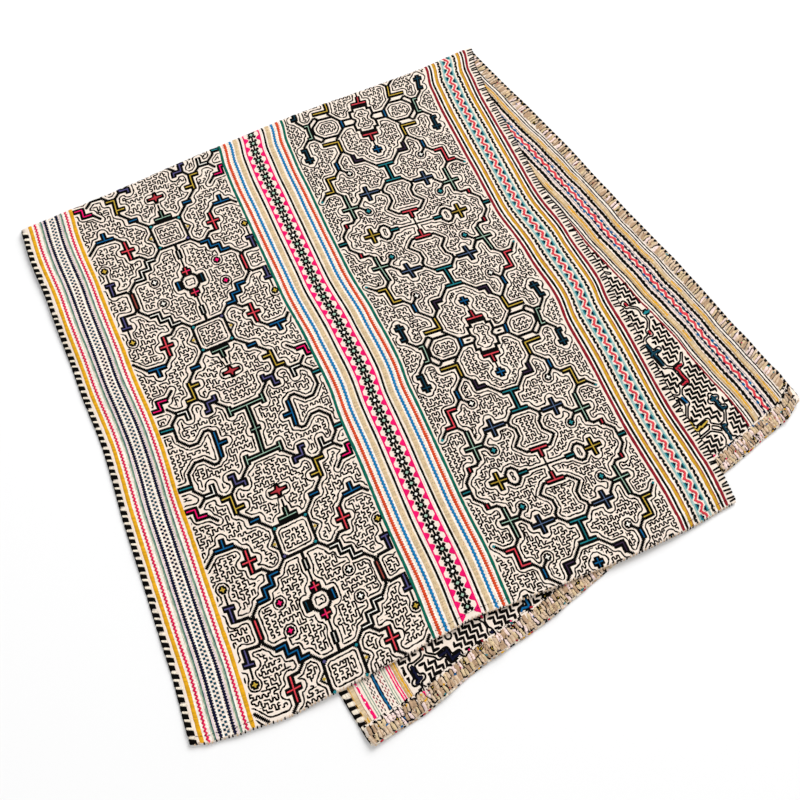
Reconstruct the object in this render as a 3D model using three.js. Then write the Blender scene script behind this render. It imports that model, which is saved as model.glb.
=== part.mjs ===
// Embroidered cotton cloth panel, folded once and laid down flat.
// Millimetres, +Z up. The cloth is one sheet. Its upper layer runs from the near hem to the fold and
// turns over there, and its lower layer runs back to the far hem, turned a little to the right.

import * as THREE from "three";
import { mergeVertices } from "three/addons/utils/BufferGeometryUtils.js";

// Cut size, thickness and hems
const clothWidth = 700;
const clothLength = 1482;
const thickness = 1.8;
const hemDepth = 22;
const hemStep = 4;
const hemExtra = 1.1;

// Fold: its place on the left and on the right edge, and its roll
const foldAtLeft = 694;
const foldAtRight = 774;
const foldRadius = 2.2;
const foldSettle = 70;
const bendSteps = 6;

// How the upper layer lies over the lower one and falls beside it
const layerGap = 1.1;
const edgeClearance = 14;
const fallWidth = 34;

// Sampling of the sheet: rows from a hem towards the fold, and columns from left to right
const hemRows = [0, 9, 18, 22, 32, 44, 58, 76];
const openRows = 22;
const closeColumns = { until: 204, count: 17 };
const openColumns = 17;

// How far each edge strays from its straight line, in millimetres.
// along runs from the near hem to the fold, from the fold to the far hem, or from left to right.
const upperLeftEdge = [
  { along: 0, shift: 0 },
  { along: 0.13, shift: 4 },
  { along: 0.35, shift: 6 },
  { along: 0.52, shift: 10 },
  { along: 0.66, shift: 6 },
  { along: 0.82, shift: 3 },
  { along: 0.94, shift: -1 },
  { along: 1, shift: 0 },
];
const upperRightEdge = [
  { along: 0, shift: 2 },
  { along: 0.07, shift: 4 },
  { along: 0.2, shift: -1 },
  { along: 0.34, shift: 1 },
  { along: 0.4, shift: 0 },
  { along: 0.45, shift: 4 },
  { along: 0.55, shift: -3 },
  { along: 0.66, shift: -13 },
  { along: 0.88, shift: -12.5 },
  { along: 0.95, shift: -9 },
  { along: 1, shift: 0 },
];
const nearHem = [
  { along: 0, shift: 4 },
  { along: 0.03, shift: -2 },
  { along: 0.08, shift: -6.5 },
  { along: 0.15, shift: -11 },
  { along: 0.22, shift: -8.5 },
  { along: 0.34, shift: -4 },
  { along: 0.41, shift: 0 },
  { along: 0.49, shift: 3.5 },
  { along: 0.55, shift: 0 },
  { along: 0.66, shift: -4 },
  { along: 0.77, shift: -7 },
  { along: 0.88, shift: -6 },
  { along: 1, shift: 0 },
];
const foldEdge = [
  { along: 0, shift: -2 },
  { along: 0.15, shift: -1 },
  { along: 0.4, shift: 4 },
  { along: 0.55, shift: 5.5 },
  { along: 0.88, shift: -2.5 },
  { along: 1, shift: 0 },
];
const lowerLeftEdge = [
  { along: 0, shift: 0 },
  { along: 0.9, shift: 2 },
  { along: 1, shift: -1 },
];
const lowerRightEdge = [
  { along: 0, shift: 0 },
  { along: 0.35, shift: 6.5 },
  { along: 0.45, shift: 5 },
  { along: 0.66, shift: 6.5 },
  { along: 0.85, shift: 3 },
  { along: 0.94, shift: 3 },
  { along: 1, shift: -4 },
];
const farHem = [
  { along: 0, shift: 1 },
  { along: 0.1, shift: 8 },
  { along: 0.19, shift: 6.5 },
  { along: 0.35, shift: 13 },
  { along: 0.6, shift: 11 },
  { along: 0.77, shift: 9 },
  { along: 0.95, shift: 6.5 },
  { along: 1, shift: -3 },
];

// Soft ridges, each with its middle, its turn from +X, its half length and half width, and its height
const upperRidges = [
  { x: 655, y: 400, turn: 62, length: 90, width: 26, height: 2.2 },
  { x: 600, y: 560, turn: 80, length: 120, width: 34, height: 1.6 },
  { x: 338, y: 10, turn: 70, length: 60, width: 30, height: 2.4 },
  { x: 70, y: 30, turn: 100, length: 70, width: 34, height: 1.8 },
  { x: 225, y: 440, turn: 84, length: 130, width: 46, height: 1.6 },
  { x: 470, y: 250, turn: 96, length: 140, width: 48, height: 1.5 },
  { x: 430, y: 690, turn: 12, length: 150, width: 26, height: 1.2 },
  { x: 600, y: 20, turn: 78, length: 60, width: 30, height: 1.6 },
];
const lowerRidges = [
  { x: 848, y: 92, turn: 28, length: 26, width: 17, height: 5 },
  { x: 838, y: 190, turn: 14, length: 34, width: 17, height: 1.8 },
  { x: 812, y: 330, turn: 8, length: 30, width: 20, height: 1.6 },
  { x: 778, y: 470, turn: 12, length: 26, width: 22, height: 1.5 },
  { x: 190, y: -66, turn: 60, length: 28, width: 16, height: 3 },
  { x: 268, y: -54, turn: 102, length: 24, width: 17, height: 2.4 },
  { x: 345, y: -40, turn: 96, length: 24, width: 18, height: 2.6 },
  { x: 425, y: -28, turn: 100, length: 22, width: 18, height: 1.8 },
];

const cottonMaterial = new THREE.MeshStandardMaterial({ color: 0xe4d1bb, roughness: 0.95, metalness: 0 });

function smooth(low, high, value) {
  return THREE.MathUtils.smoothstep(value, low, high);
}

// The shift at a place along an edge, eased between the rows of its table
function edgeShift(table, along) {
  const next = Math.max(1, table.findIndex((row) => row.along >= along));
  const before = table[next - 1];
  const after = table[next];
  return THREE.MathUtils.lerp(before.shift, after.shift, smooth(before.along, after.along, along));
}

// Straight lines that the layers are laid out on
const foldStart = new THREE.Vector2(0, foldAtLeft);
const foldEnd = new THREE.Vector2(clothWidth, foldAtRight);
const alongFold = foldEnd.clone().sub(foldStart).normalize();
const acrossFold = new THREE.Vector2(-alongFold.y, alongFold.x);

function mirrorAtFold(point) {
  const reach = point.clone().sub(foldStart).dot(acrossFold);
  return point.clone().addScaledVector(acrossFold, -2 * reach);
}

function insideLine(start, end, point) {
  const along = end.clone().sub(start).normalize();
  const away = point.clone().sub(start);
  return along.x * away.y - along.y * away.x;
}

const farHemLeft = mirrorAtFold(new THREE.Vector2(0, clothLength));
const farHemRight = mirrorAtFold(new THREE.Vector2(clothWidth, clothLength));

// The middle of the roll at the fold, before and after it turns over
function foldPoint(across, side) {
  const outer = foldStart.clone().lerp(foldEnd, across);
  outer.addScaledVector(acrossFold, edgeShift(foldEdge, across));
  return outer.addScaledVector(acrossFold, side * (foldRadius + thickness / 2));
}

function ridgeHeight(ridges, point) {
  let height = 0;
  for (const ridge of ridges) {
    const turn = THREE.MathUtils.degToRad(ridge.turn);
    const away = point.clone().sub(new THREE.Vector2(ridge.x, ridge.y));
    const along = (away.x * Math.cos(turn) + away.y * Math.sin(turn)) / ridge.length;
    const aside = (away.y * Math.cos(turn) - away.x * Math.sin(turn)) / ridge.width;
    height += ridge.height * Math.exp(-(along * along + aside * aside));
  }
  return height;
}

function sheetThickness(fromHem) {
  return thickness + hemExtra * (1 - smooth(hemDepth - hemStep, hemDepth, fromHem));
}

// Plan position on the upper layer; toFold is 0 at the near hem and 1 at the fold
function upperPlan(across, toFold) {
  const hem = new THREE.Vector2(across * clothWidth, edgeShift(nearHem, across));
  const plan = hem.lerp(foldPoint(across, -1), toFold);
  plan.x += THREE.MathUtils.lerp(edgeShift(upperLeftEdge, toFold), edgeShift(upperRightEdge, toFold), across);
  return plan;
}

// Plan position on the lower layer; fromFold is 0 at the fold and 1 at the far hem
function lowerPlan(across, fromFold) {
  const hem = new THREE.Vector2(across * clothWidth, clothLength + edgeShift(farHem, across));
  const flat = foldPoint(across, 1).lerp(hem, fromFold);
  flat.x += THREE.MathUtils.lerp(edgeShift(lowerLeftEdge, fromFold), edgeShift(lowerRightEdge, fromFold), across);
  return mirrorAtFold(flat);
}

// The lower layer's ridges fade out beneath the upper layer
function lowerLift(plan) {
  const pastSide = plan.x - clothWidth;
  const pastHem = -plan.y;
  return ridgeHeight(lowerRidges, plan) * smooth(0, 30, Math.max(pastSide, pastHem));
}

// Height of the upper layer's underside: over the lower layer, or down on the table beside it
function upperUnderside(plan, toFold) {
  const pastHem = insideLine(farHemLeft, farHemRight, plan);
  const pastLeft = insideLine(farHemLeft, foldStart, plan) * -1;
  const covered = smooth(-edgeClearance - fallWidth, -edgeClearance, Math.min(pastHem, pastLeft));
  const fromFold = foldPoint(0, -1).sub(plan).dot(acrossFold);
  const rolled = 1 - smooth(0, foldSettle, fromFold);
  const resting = sheetThickness(pastHem) + layerGap;
  const settled = THREE.MathUtils.lerp(resting, 2 * foldRadius, rolled);
  const open = 1 - rolled;
  return settled * covered + ridgeHeight(upperRidges, plan) * open;
}

// One corner of the sheet: its plan position, and the heights of its wrong and its right side
function upperCorner(across, toFold, side) {
  const plan = upperPlan(across, toFold);
  const underside = upperUnderside(plan, toFold);
  const height = side > 0 ? underside + sheetThickness(toFold * foldAtLeft) : underside;
  return new THREE.Vector3(plan.x, plan.y, height);
}

function bendCorner(across, turned, side) {
  const angle = turned * Math.PI;
  const radius = foldRadius + (side * thickness) / 2;
  const plan = foldPoint(across, -1).addScaledVector(acrossFold, radius * Math.sin(angle));
  const middle = foldRadius + thickness / 2;
  return new THREE.Vector3(plan.x, plan.y, middle + radius * Math.cos(angle));
}

function lowerCorner(across, fromFold, side) {
  const plan = lowerPlan(across, fromFold);
  const lift = lowerLift(plan);
  const fromHem = (1 - fromFold) * (clothLength - foldAtLeft);
  return new THREE.Vector3(plan.x, plan.y, side > 0 ? lift : lift + sheetThickness(fromHem));
}

// Rows from the near hem over the fold to the far hem, as functions of the place across and the side
function sheetRows() {
  const rows = [];
  const fractions = hemRows.map((row) => row / foldAtLeft);
  const lastHemRow = fractions[fractions.length - 1];
  for (let step = 1; step < openRows; step += 1) {
    fractions.push(THREE.MathUtils.lerp(lastHemRow, 1, step / openRows));
  }
  for (const toFold of fractions) {
    rows.push((across, side) => upperCorner(across, toFold, side));
  }
  for (let step = 0; step <= bendSteps; step += 1) {
    rows.push((across, side) => bendCorner(across, step / bendSteps, side));
  }
  for (const toFold of fractions.reverse()) {
    rows.push((across, side) => lowerCorner(across, 1 - toFold, side));
  }
  return rows;
}

function sheetColumns() {
  const columns = [];
  const last = closeColumns.until / clothWidth;
  for (let step = 0; step < closeColumns.count; step += 1) {
    columns.push((last * step) / closeColumns.count);
  }
  for (let step = 0; step <= openColumns; step += 1) {
    columns.push(THREE.MathUtils.lerp(last, 1, step / openColumns));
  }
  return columns;
}

// The sheet starts as a flat box with one segment for each row and column, and is then laid in its folds
function foldedSheet() {
  const rows = sheetRows();
  const columns = sheetColumns();
  const flat = new THREE.BoxGeometry(1, 1, 1, columns.length - 1, rows.length - 1, 1);
  flat.deleteAttribute("normal");
  flat.deleteAttribute("uv");
  const sheet = mergeVertices(flat, 1e-5);
  const places = sheet.getAttribute("position");
  for (let index = 0; index < places.count; index += 1) {
    const column = Math.round((places.getX(index) + 0.5) * (columns.length - 1));
    const row = Math.round((places.getY(index) + 0.5) * (rows.length - 1));
    const corner = rows[row](columns[column], Math.sign(places.getZ(index)));
    places.setXYZ(index, corner.x, corner.y, corner.z);
  }
  sheet.computeBoundingBox();
  return sheet;
}

const cloth = new THREE.Mesh(foldedSheet(), cottonMaterial);
cloth.name = "cloth";

// The origin is on the table, under the middle of the folded cloth
const extent = cloth.geometry.boundingBox;
cloth.position.set(-(extent.min.x + extent.max.x) / 2, -(extent.min.y + extent.max.y) / 2, -extent.min.z);

const group = new THREE.Group();
group.add(cloth);

export default group;
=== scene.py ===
"""Embroidered cotton panel, folded once and laid flat: cloth, embroidery, edge stitches, stage and camera."""
import functools
import math

import bpy
import numpy as np
from mathutils import Matrix, Vector


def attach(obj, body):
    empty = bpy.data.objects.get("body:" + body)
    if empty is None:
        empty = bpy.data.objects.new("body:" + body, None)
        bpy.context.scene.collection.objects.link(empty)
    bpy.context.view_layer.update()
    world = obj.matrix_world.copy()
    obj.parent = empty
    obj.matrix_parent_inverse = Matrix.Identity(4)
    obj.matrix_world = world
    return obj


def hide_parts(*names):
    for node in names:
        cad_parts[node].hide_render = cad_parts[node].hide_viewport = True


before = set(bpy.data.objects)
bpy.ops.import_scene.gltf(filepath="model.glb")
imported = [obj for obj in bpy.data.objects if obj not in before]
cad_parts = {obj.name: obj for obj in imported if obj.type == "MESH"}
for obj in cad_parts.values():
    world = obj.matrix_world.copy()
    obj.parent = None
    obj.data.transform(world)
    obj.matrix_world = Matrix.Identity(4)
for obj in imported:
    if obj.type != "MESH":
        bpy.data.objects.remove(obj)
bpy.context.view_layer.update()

bl_info = {
    "name": "Embroidered cloth panel",
    "version": (1, 0, 0),
    "blender": (4, 5, 0),
    "location": "View3D > Sidebar > Panel",
    "description": "Lays a folded cotton panel and works its line embroidery, bands and edge stitches",
    "category": "Object",
}

# Lengths in the tables below are millimetres in the cloth's own flat frame: s runs across the cloth from
# its left edge, t runs along the cut from the near hem, over the fold, to the far hem.
MM = 0.001
TABLE_CLEARANCE = 0.02
UNDER_PRESS = 0.42
UNDER_SKIP = 2

# Cut size, and the folded cloth's own shape
CLOTH_WIDTH = 700.0
CLOTH_LENGTH = 1482.0
THICKNESS = 1.8
THREAD_ROOM = 0.5
HEM_DEPTH = 22.0
HEM_STEP = 4.0
HEM_EXTRA = 1.1
FOLD_AT_LEFT = 694.0
FOLD_AT_RIGHT = 774.0
FOLD_RADIUS = 2.2
FOLD_SETTLE = 70.0
LAYER_GAP = 1.1
EDGE_CLEARANCE = 14.0
FALL_WIDTH = 34.0
BEND_MIDDLE = FOLD_RADIUS + THICKNESS / 2
BEND_HALF = math.pi * BEND_MIDDLE / 2

# Sampling of the visible sheet
COLUMN_COUNT = 118
OPEN_ROW = 6.2
BEND_ROWS = 10
HEM_ROWS = (0.0, 2.0, 5.0, 9.0, 14.0, 18.0, 20.0, 22.0, 26.0)

# How far each edge strays from its straight line: (along, shift)
UPPER_LEFT_EDGE = ((0, 0), (0.13, 4), (0.35, 6), (0.52, 10), (0.66, 6), (0.82, 3), (0.94, -1), (1, 0))
UPPER_RIGHT_EDGE = (
    (0, 2), (0.07, 4), (0.2, -1), (0.34, 1), (0.4, 0), (0.45, 4), (0.55, -3), (0.66, -13), (0.88, -12.5),
    (0.95, -9), (1, 0),
)
NEAR_HEM = (
    (0, 4), (0.03, -2), (0.08, -6.5), (0.15, -11), (0.22, -8.5), (0.34, -4), (0.41, 0), (0.49, 3.5),
    (0.55, 0), (0.66, -4), (0.77, -7), (0.88, -6), (1, 0),
)
FOLD_EDGE = ((0, -2), (0.15, -1), (0.4, 4), (0.55, 5.5), (0.88, -2.5), (1, 0))
LOWER_LEFT_EDGE = ((0, 0), (0.9, 2), (1, -1))
LOWER_RIGHT_EDGE = ((0, 0), (0.35, 6.5), (0.45, 5), (0.66, 6.5), (0.85, 3), (0.94, 3), (1, -4))
FAR_HEM = ((0, 1), (0.1, 8), (0.19, 6.5), (0.35, 13), (0.6, 11), (0.77, 9), (0.95, 6.5), (1, -3))

# Soft ridges, each with its middle, its turn from +X, its half length and half width, and its height
UPPER_RIDGES = (
    (655, 400, 62, 90, 26, 2.2), (600, 560, 80, 120, 34, 1.6), (338, 10, 70, 60, 30, 2.4),
    (70, 30, 100, 70, 34, 1.8), (225, 440, 84, 130, 46, 1.6), (470, 250, 96, 140, 48, 1.5),
    (430, 690, 12, 150, 26, 1.2), (600, 20, 78, 60, 30, 1.6),
)
LOWER_RIDGES = (
    (848, 92, 28, 26, 17, 5.0), (838, 190, 14, 34, 17, 1.8), (812, 330, 8, 30, 20, 1.6),
    (778, 470, 12, 26, 22, 1.5), (190, -66, 60, 28, 16, 3.0), (268, -54, 102, 24, 17, 2.4),
    (345, -40, 96, 24, 18, 2.6), (425, -28, 100, 22, 18, 1.8),
)
# Finer creases that the solid leaves out, in the same columns
UPPER_CREASES = (
    (20, 300, 84, 60, 9, 0.7), (12, 520, 92, 50, 8, 0.6), (300, 160, 88, 90, 12, 0.7),
    (395, 420, 82, 110, 12, 0.8), (520, 640, 64, 50, 12, 0.8), (640, 250, 98, 60, 10, 0.9),
    (690, 110, 84, 50, 7, 0.8), (150, 640, 20, 60, 12, 0.6), (560, 360, 150, 46, 12, 0.6),
    (250, 300, 32, 50, 14, 0.5), (110, 160, 140, 50, 12, 0.5), (655, 610, 76, 60, 8, 0.9),
)
LOWER_CREASES = (
    (735, 640, 112, 50, 6, 1.0), (760, 560, 108, 46, 6, 1.1), (748, 505, 60, 22, 6, 0.9),
    (800, 420, 104, 50, 7, 1.2), (775, 330, 70, 26, 6, 1.0), (830, 250, 106, 46, 7, 1.2),
    (800, 200, 48, 26, 6, 1.0), (760, 120, 120, 30, 7, 0.9), (850, 130, 30, 22, 6, 1.2),
    (820, 60, 150, 24, 7, 1.2), (735, 30, 92, 24, 6, 1.0),
)

# Embroidery threads: name, use and colour. Each has one row of the thread material's map.
THREADS = (
    ("black", "Outlines, ropes and edge stitches", "060504"),
    ("soot", "Fine inner lines", "120b07"),
    ("cream", "Light rows between stripes", "f4e7d2"),
    ("blush", "Pinkish light rows", "f3d9d2"),
    ("lilac", "Lilac light rows", "e8d2dc"),
    ("white", "Light accents", "faf5ec"),
    ("gold", "Outer stripes of the left band", "dda21e"),
    ("ochre", "Wide stripes of the right band", "c8982e"),
    ("tan", "Wide stripes of the middle band", "d8bf98"),
    ("sand", "Gathers of the turned-up hem", "d9bfa3"),
    # Painted shade: a darker fawn for the shade in the gathers and their hollows, on the hem cord and along the edges
    # of the broken back stripes
    ("fawn", "Shaded gathers of the turned-up hem", "b99a7c"),
    ("yellow", "Yellow accents", "c9a83f"),
    ("crimson", "Pink zigzags", "d81c50"),
    ("hot_pink", "Stepped triangles", "f0146a"),
    ("coral", "Coral accents and zigzag", "dd4650"),
    ("red", "Red accents", "bd2a38"),
    ("orange", "Orange ropes", "d24a26"),
    ("maroon", "Outer stripes of the right band", "8c1a28"),
    ("rust", "Small bars", "96453a"),
    ("sage", "Green stripe", "7d9a84"),
    ("mint", "Mint cores", "a9cbb4"),
    ("pale_mint", "Pale ground of the right band", "9fbfbb"),
    ("teal", "Teal accents and triangles", "23848c"),
    ("green", "Outer stripes of the middle band", "0f6351"),
    ("blue", "Blue accents and ropes", "0f5f94"),
    ("sky_blue", "Waves of the middle band", "1b79b0"),
    ("navy", "Dark blue ropes", "10132e"),
    ("deep_teal", "Checks and keys", "123f52"),
    ("slate", "Grey-blue accents", "566a8c"),
    ("violet", "Violet accents", "55507f"),
    ("plum", "Dark violet accents", "38273f"),
)
ROW = {name: index for index, (name, use, colour) in enumerate(THREADS)}
ROW_INSET = 0.16
STITCH_LENGTH = 1.5
STITCHES_IN_MAP = 128

# Half widths and heights of the worked lines
LINE_HALF, LINE_HEIGHT = 2.05, 0.75
FINE_HALF, FINE_HEIGHT = 1.5, 0.6
BORDER_HALF, BORDER_HEIGHT = 4.2, 0.7
CORE_HALF, CORE_HEIGHT, CORE_BASE = 0.78, 0.45, 0.55
CORE_HALVES = {
    "mint": 0.52, "white": 0.62, "deep_teal": 0.65, "slate": 0.56, "coral": 0.85, "violet": 0.82, "yellow": 0.7,
    "plum": 0.75,
}
INNER_HALF, INNER_HEIGHT = 1.18, 0.5
FILL_HALF, FILL_HEIGHT = 1.22, 0.48

# Charts of the two fields, composed on a lattice of CHART_UNIT. Each is one quarter of a repeat, mirrored to
# both sides of the field's middle line and of its rows: (kind, thread or threads, lattice points). A pair of
# threads changes places crosswise.
CHART_UNIT = 5.5
LEFT_CHART = (
    ("core", "mint", (0, 0), (0, 6)),
    ("core", "mint", (0, 6), (4, 6)),
    ("core", "mint", (4, 5), (4, 7)),
    ("core", "mint", (0, 0), (1, 0)),
    ("line", "black", (4, 7), (7, 10)),
    ("core", "violet", (6, 11), (6, 10), (8, 10), (8, 8), (9, 8)),
    ("line", "black", (8, 10), (10, 12)),
    ("core", "yellow", (12, 12), (10, 12), (10, 16)),
    ("core", "yellow", (10, 15), (8, 15)),
    ("line", "black", (10, 16), (7, 19)),
    ("core", "blue", (8, 19), (6, 19)),
    ("line", "black", (7, 19), (4, 22)),
    ("line", "black", (0, 22), (4, 22), (4, 29), (0, 29)),
    ("line", "black", (3, 22), (4, 23)),
    ("line", "black", (3, 29), (4, 28)),
    ("gem", "teal", (3.6, 22.4)),
    ("gem", ("teal", "violet"), (3.6, 28.6)),
    ("fine", "black", (4, 24), (5.5, 25.5), (4, 27)),
    ("gem", "yellow", (4.7, 25.5)),
    ("core", "mint", (0, 21), (2, 21)),
    ("core", "mint", (0, 21), (0, 19)),
    ("fine", "black", (0, 19), (0, 17)),
    ("star", "coral", (0, 15)),
    ("line", "black", (4, 29), (6, 31)),
    ("core", ("white", "blue"), (6, 31), (8, 31), (8, 33), (10, 33), (10, 35), (12, 35)),
    ("line", "black", (7, 31), (9, 29), (11, 29)),
    ("core", "coral", (11, 29), (11, 24)),
    ("core", "coral", (9.5, 26.5), (12.5, 26.5)),
    ("line", "black", (11, 24), (13, 22)),
    ("core", "blue", (13, 22), (17, 22)),
    ("core", "blue", (15, 22), (15, 20)),
    ("line", "black", (17, 22), (20, 25)),
    ("core", "violet", (18, 37), (18, 34)),
    ("core", "violet", (17, 34), (19, 34)),
    ("fine", "black", (18, 34), (18, 31)),
    ("spot", "yellow", (18, 30)),
    ("line", "black", (12, 35), (14, 37), (14, 38)),
    ("core", ("rust", "coral"), (14, 38), (14, 40)),
    ("line", "black", (14, 38), (15, 37), (18, 37)),
    ("line", "black", (0, 38), (1, 38), (2, 39), (2, 40)),
    ("core", ("blue", "deep_teal"), (3, 39), (3, 40)),
    ("core", ("coral", "hot_pink"), (0, 38), (0, 36)),
    ("core", ("coral", "hot_pink"), (0, 37), (1, 37)),
    ("fine", "black", (0, 36), (0, 33)),
    ("core", "white", (0, 33), (0, 31)),
    ("line", "black", (0, 31), (0, 29)),
    ("spot", ("white", "hot_pink"), (8, 37)),
    ("core", "teal", (17, 7), (20, 7)),
    ("line", "black", (17, 7), (17, 8), (15, 10)),
    ("core", "white", (15, 10), (13, 10), (13, 8)),
    ("line", "black", (13, 10), (11, 12)),
    ("line", "black", (15, 10), (17, 12)),
    ("core", "hot_pink", (20, 12), (18, 12), (18, 14), (16, 14)),
    ("line", "black", (16, 14), (14, 16)),
    ("core", "blue", (9, 0), (9, 3)),
    ("core", "blue", (9, 0), (7, 0)),
    ("line", "black", (9, 3), (10, 4), (11, 4), (13, 2), (15, 2), (17, 4), (17, 7)),
)
RIGHT_CHART = (
    ("line", "black", (0, 4), (2, 4), (2, 3), (3, 3), (3, 1), (2, 0)),
    ("line", "black", (3, 1), (6, 1)),
    ("core", "blue", (6, 0), (6, 1)),
    ("core", "coral", (0, 5), (2, 5)),
    ("core", "coral", (0, 5), (0, 7)),
    ("fine", "black", (0, 7), (0, 9)),
    ("core", "blue", (0, 9), (0, 11)),
    ("core", "blue", (0, 10), (1, 10)),
    ("line", "black", (6, 1), (8, 3), (12, 3), (14, 1), (14, 0)),
    ("line", "black", (12, 3), (13, 4)),
    ("core", "yellow", (13, 5), (9, 5), (9, 8)),
    ("line", "black", (13, 4), (15, 2)),
    ("line", "black", (8, 3), (9, 4), (9, 5)),
    ("line", "black", (9, 8), (7, 10)),
    ("core", "plum", (7, 10), (7, 12), (5, 12)),
    ("line", "black", (5, 12), (2, 15)),
    ("line", "black", (9, 8), (12, 11)),
    ("core", "blue", (12, 11), (12, 13)),
    ("line", "black", (12, 13), (10, 15)),
    ("spot", "white", (10, 15)),
    ("line", "black", (12, 13), (14, 15)),
    ("core", ("yellow", "coral"), (14, 15), (16, 15), (16, 19), (18, 19)),
    ("line", "black", (18, 19), (20, 21)),
    ("gem", "teal", (20, 21)),
    ("line", "black", (16, 19), (14, 21)),
    ("core", "mint", (14, 21), (14, 28)),
    ("core", "mint", (12, 25), (16, 25)),
    ("line", "black", (14, 28), (15, 29), (17, 29)),
    ("core", "red", (17, 29), (17, 30)),
    ("line", "black", (17, 30), (19, 32), (19, 34)),
    ("core", "teal", (19, 34), (21, 34)),
    ("line", "black", (12, 25), (10, 27)),
    ("spot", "teal", (10, 27)),
    ("line", "black", (12, 25), (10, 23), (10, 22)),
    ("core", "slate", (10, 22), (5, 22)),
    ("core", "slate", (8, 20), (8, 24)),
    ("line", "black", (5, 22), (4, 22)),
    ("core", "teal", (0, 15), (2, 15)),
    ("core", "teal", (0, 20), (2, 20)),
    ("core", "teal", (0, 15), (0, 20)),
    ("line", "black", (2, 20), (4, 22), (4, 23), (3, 24), (3, 26), (5, 28), (4, 29), (3, 30), (2, 30)),
    ("core", "coral", (0, 30), (2, 30)),
    ("core", "coral", (0, 30), (0, 32)),
    ("fine", "black", (0, 32), (0, 34)),
    ("fine", "black", (0, 34), (5, 34)),
    ("core", "teal", (5, 34), (7, 34)),
    ("line", "black", (7, 34), (7, 33), (8, 32), (9, 32), (10, 33), (10, 34)),
    ("core", "yellow", (10, 34), (14, 34)),
    ("core", "yellow", (12, 32), (12, 34)),
    ("core", "mint", (16, 2), (15, 2), (15, 0)),
    ("line", "black", (16, 2), (18, 4), (18, 5)),
    ("core", "deep_teal", (19, 5), (18, 5), (18, 9)),
    ("core", "deep_teal", (17, 8), (19, 8)),
)
# Fields: left and right limit, middle line, row of the chart's start, lattice rows to its mirror, chart, seed,
# and pitch of the fill
FIELDS = {
    "left": (69.5, 282.0, 179.0, 318.0, 40, LEFT_CHART, 11, 3.25),
    "right": (385.5, 615.0, 501.0, 327.0, 34, RIGHT_CHART, 23, 3.05),
}

# Distances from a thick line's edge to the inner contour and to the nearest fill, and how much nearer than
# that the fill comes to the field's own limits
CONTOUR_AT = 3.0
FILL_FROM = 5.0
FIELD_EDGE_LEAD = 5.0
CHART_STEP = 1.5

# Stripes of the bands: (style, thread, middle, half width)
LEFT_BAND = (
    ("satin", "gold", 10.6, 2.4), ("row", "white", 13.6, 0.85), ("zigzag", "crimson", 17.1, 1.1),
    ("row", "white", 20.5, 0.85), ("brushed", "sage", 24.0, 1.9), ("row", "lilac", 27.2, 0.9),
    ("rope", "navy", 30.6, 1.9), ("row", "white", 33.8, 0.9), ("check", "deep_teal", 38.3, 1.0),
    ("row", "white", 42.8, 0.9), ("rope", "navy", 46.0, 1.9), ("row", "lilac", 49.2, 0.8),
    ("brushed", "sage", 52.2, 1.9), ("row", "white", 55.3, 0.85), ("zigzag", "crimson", 58.7, 1.1),
    ("row", "white", 62.0, 0.8), ("satin", "gold", 65.5, 2.5),
)
MIDDLE_BAND = (
    ("satin", "green", 284.4, 2.0), ("row", "white", 287.4, 0.8), ("row", "blush", 289.0, 0.7),
    ("rope", "orange", 292.3, 2.1), ("row", "white", 295.3, 0.8), ("row", "cream", 297.0, 0.7),
    ("wave", "sky_blue", 300.7, 1.45), ("row", "white", 304.0, 0.8), ("satin", "tan", 308.3, 3.2),
    ("dots", "rust", 308.3, 0.5), ("row", "cream", 312.4, 0.7), ("satin", "black", 315.0, 1.55),
    ("row", "white", 317.2, 0.75), ("row", "blush", 318.8, 0.7),
    ("triangles", "hot_pink", 321.3, 1.15), ("flowers", "black", 333.3, 1.3),
    ("triangles", "hot_pink", 345.3, -1.15),
    ("row", "blush", 347.8, 0.7), ("row", "white", 349.4, 0.75), ("satin", "black", 351.6, 1.55),
    ("row", "cream", 354.2, 0.7), ("satin", "tan", 358.3, 3.2), ("dots", "rust", 358.3, 0.5),
    ("row", "white", 362.6, 0.8), ("wave", "sky_blue", 365.9, 1.45), ("row", "cream", 369.4, 0.7),
    ("row", "white", 371.0, 0.8), ("rope", "orange", 374.0, 2.1), ("row", "blush", 377.3, 0.7),
    ("row", "white", 378.8, 0.8), ("satin", "green", 381.8, 2.0),
)
RIGHT_BAND = (
    ("satin", "maroon", 618.9, 2.2), ("row", "white", 622.0, 0.9), ("satin", "black", 624.7, 1.75),
    ("row", "white", 627.4, 0.9), ("brushed", "ochre", 631.5, 2.7), ("row", "white", 635.3, 0.9),
    ("river", "black", 639.2, 1.75), ("row", "cream", 642.7, 0.8), ("satin", "pale_mint", 645.4, 1.8),
    ("peaks", "teal", 646.0, 1.0), ("steps", "coral", 653.3, 1.7), ("peaks", "teal", 660.6, -1.0),
    ("satin", "pale_mint", 661.2, 1.8), ("row", "cream", 664.0, 0.8), ("river", "black", 667.4, 1.75),
    ("row", "white", 671.1, 0.9), ("brushed", "ochre", 674.9, 2.7), ("row", "white", 678.7, 0.9),
    ("satin", "black", 681.3, 1.75), ("row", "white", 684.0, 0.9), ("satin", "maroon", 687.0, 2.2),
)
BANDS = {"left": LEFT_BAND, "middle": MIDDLE_BAND, "right": RIGHT_BAND}
MOTIF_PITCH = 14.5
BAND_START = 1.0
BORDER_LEAD = 1.8

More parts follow.
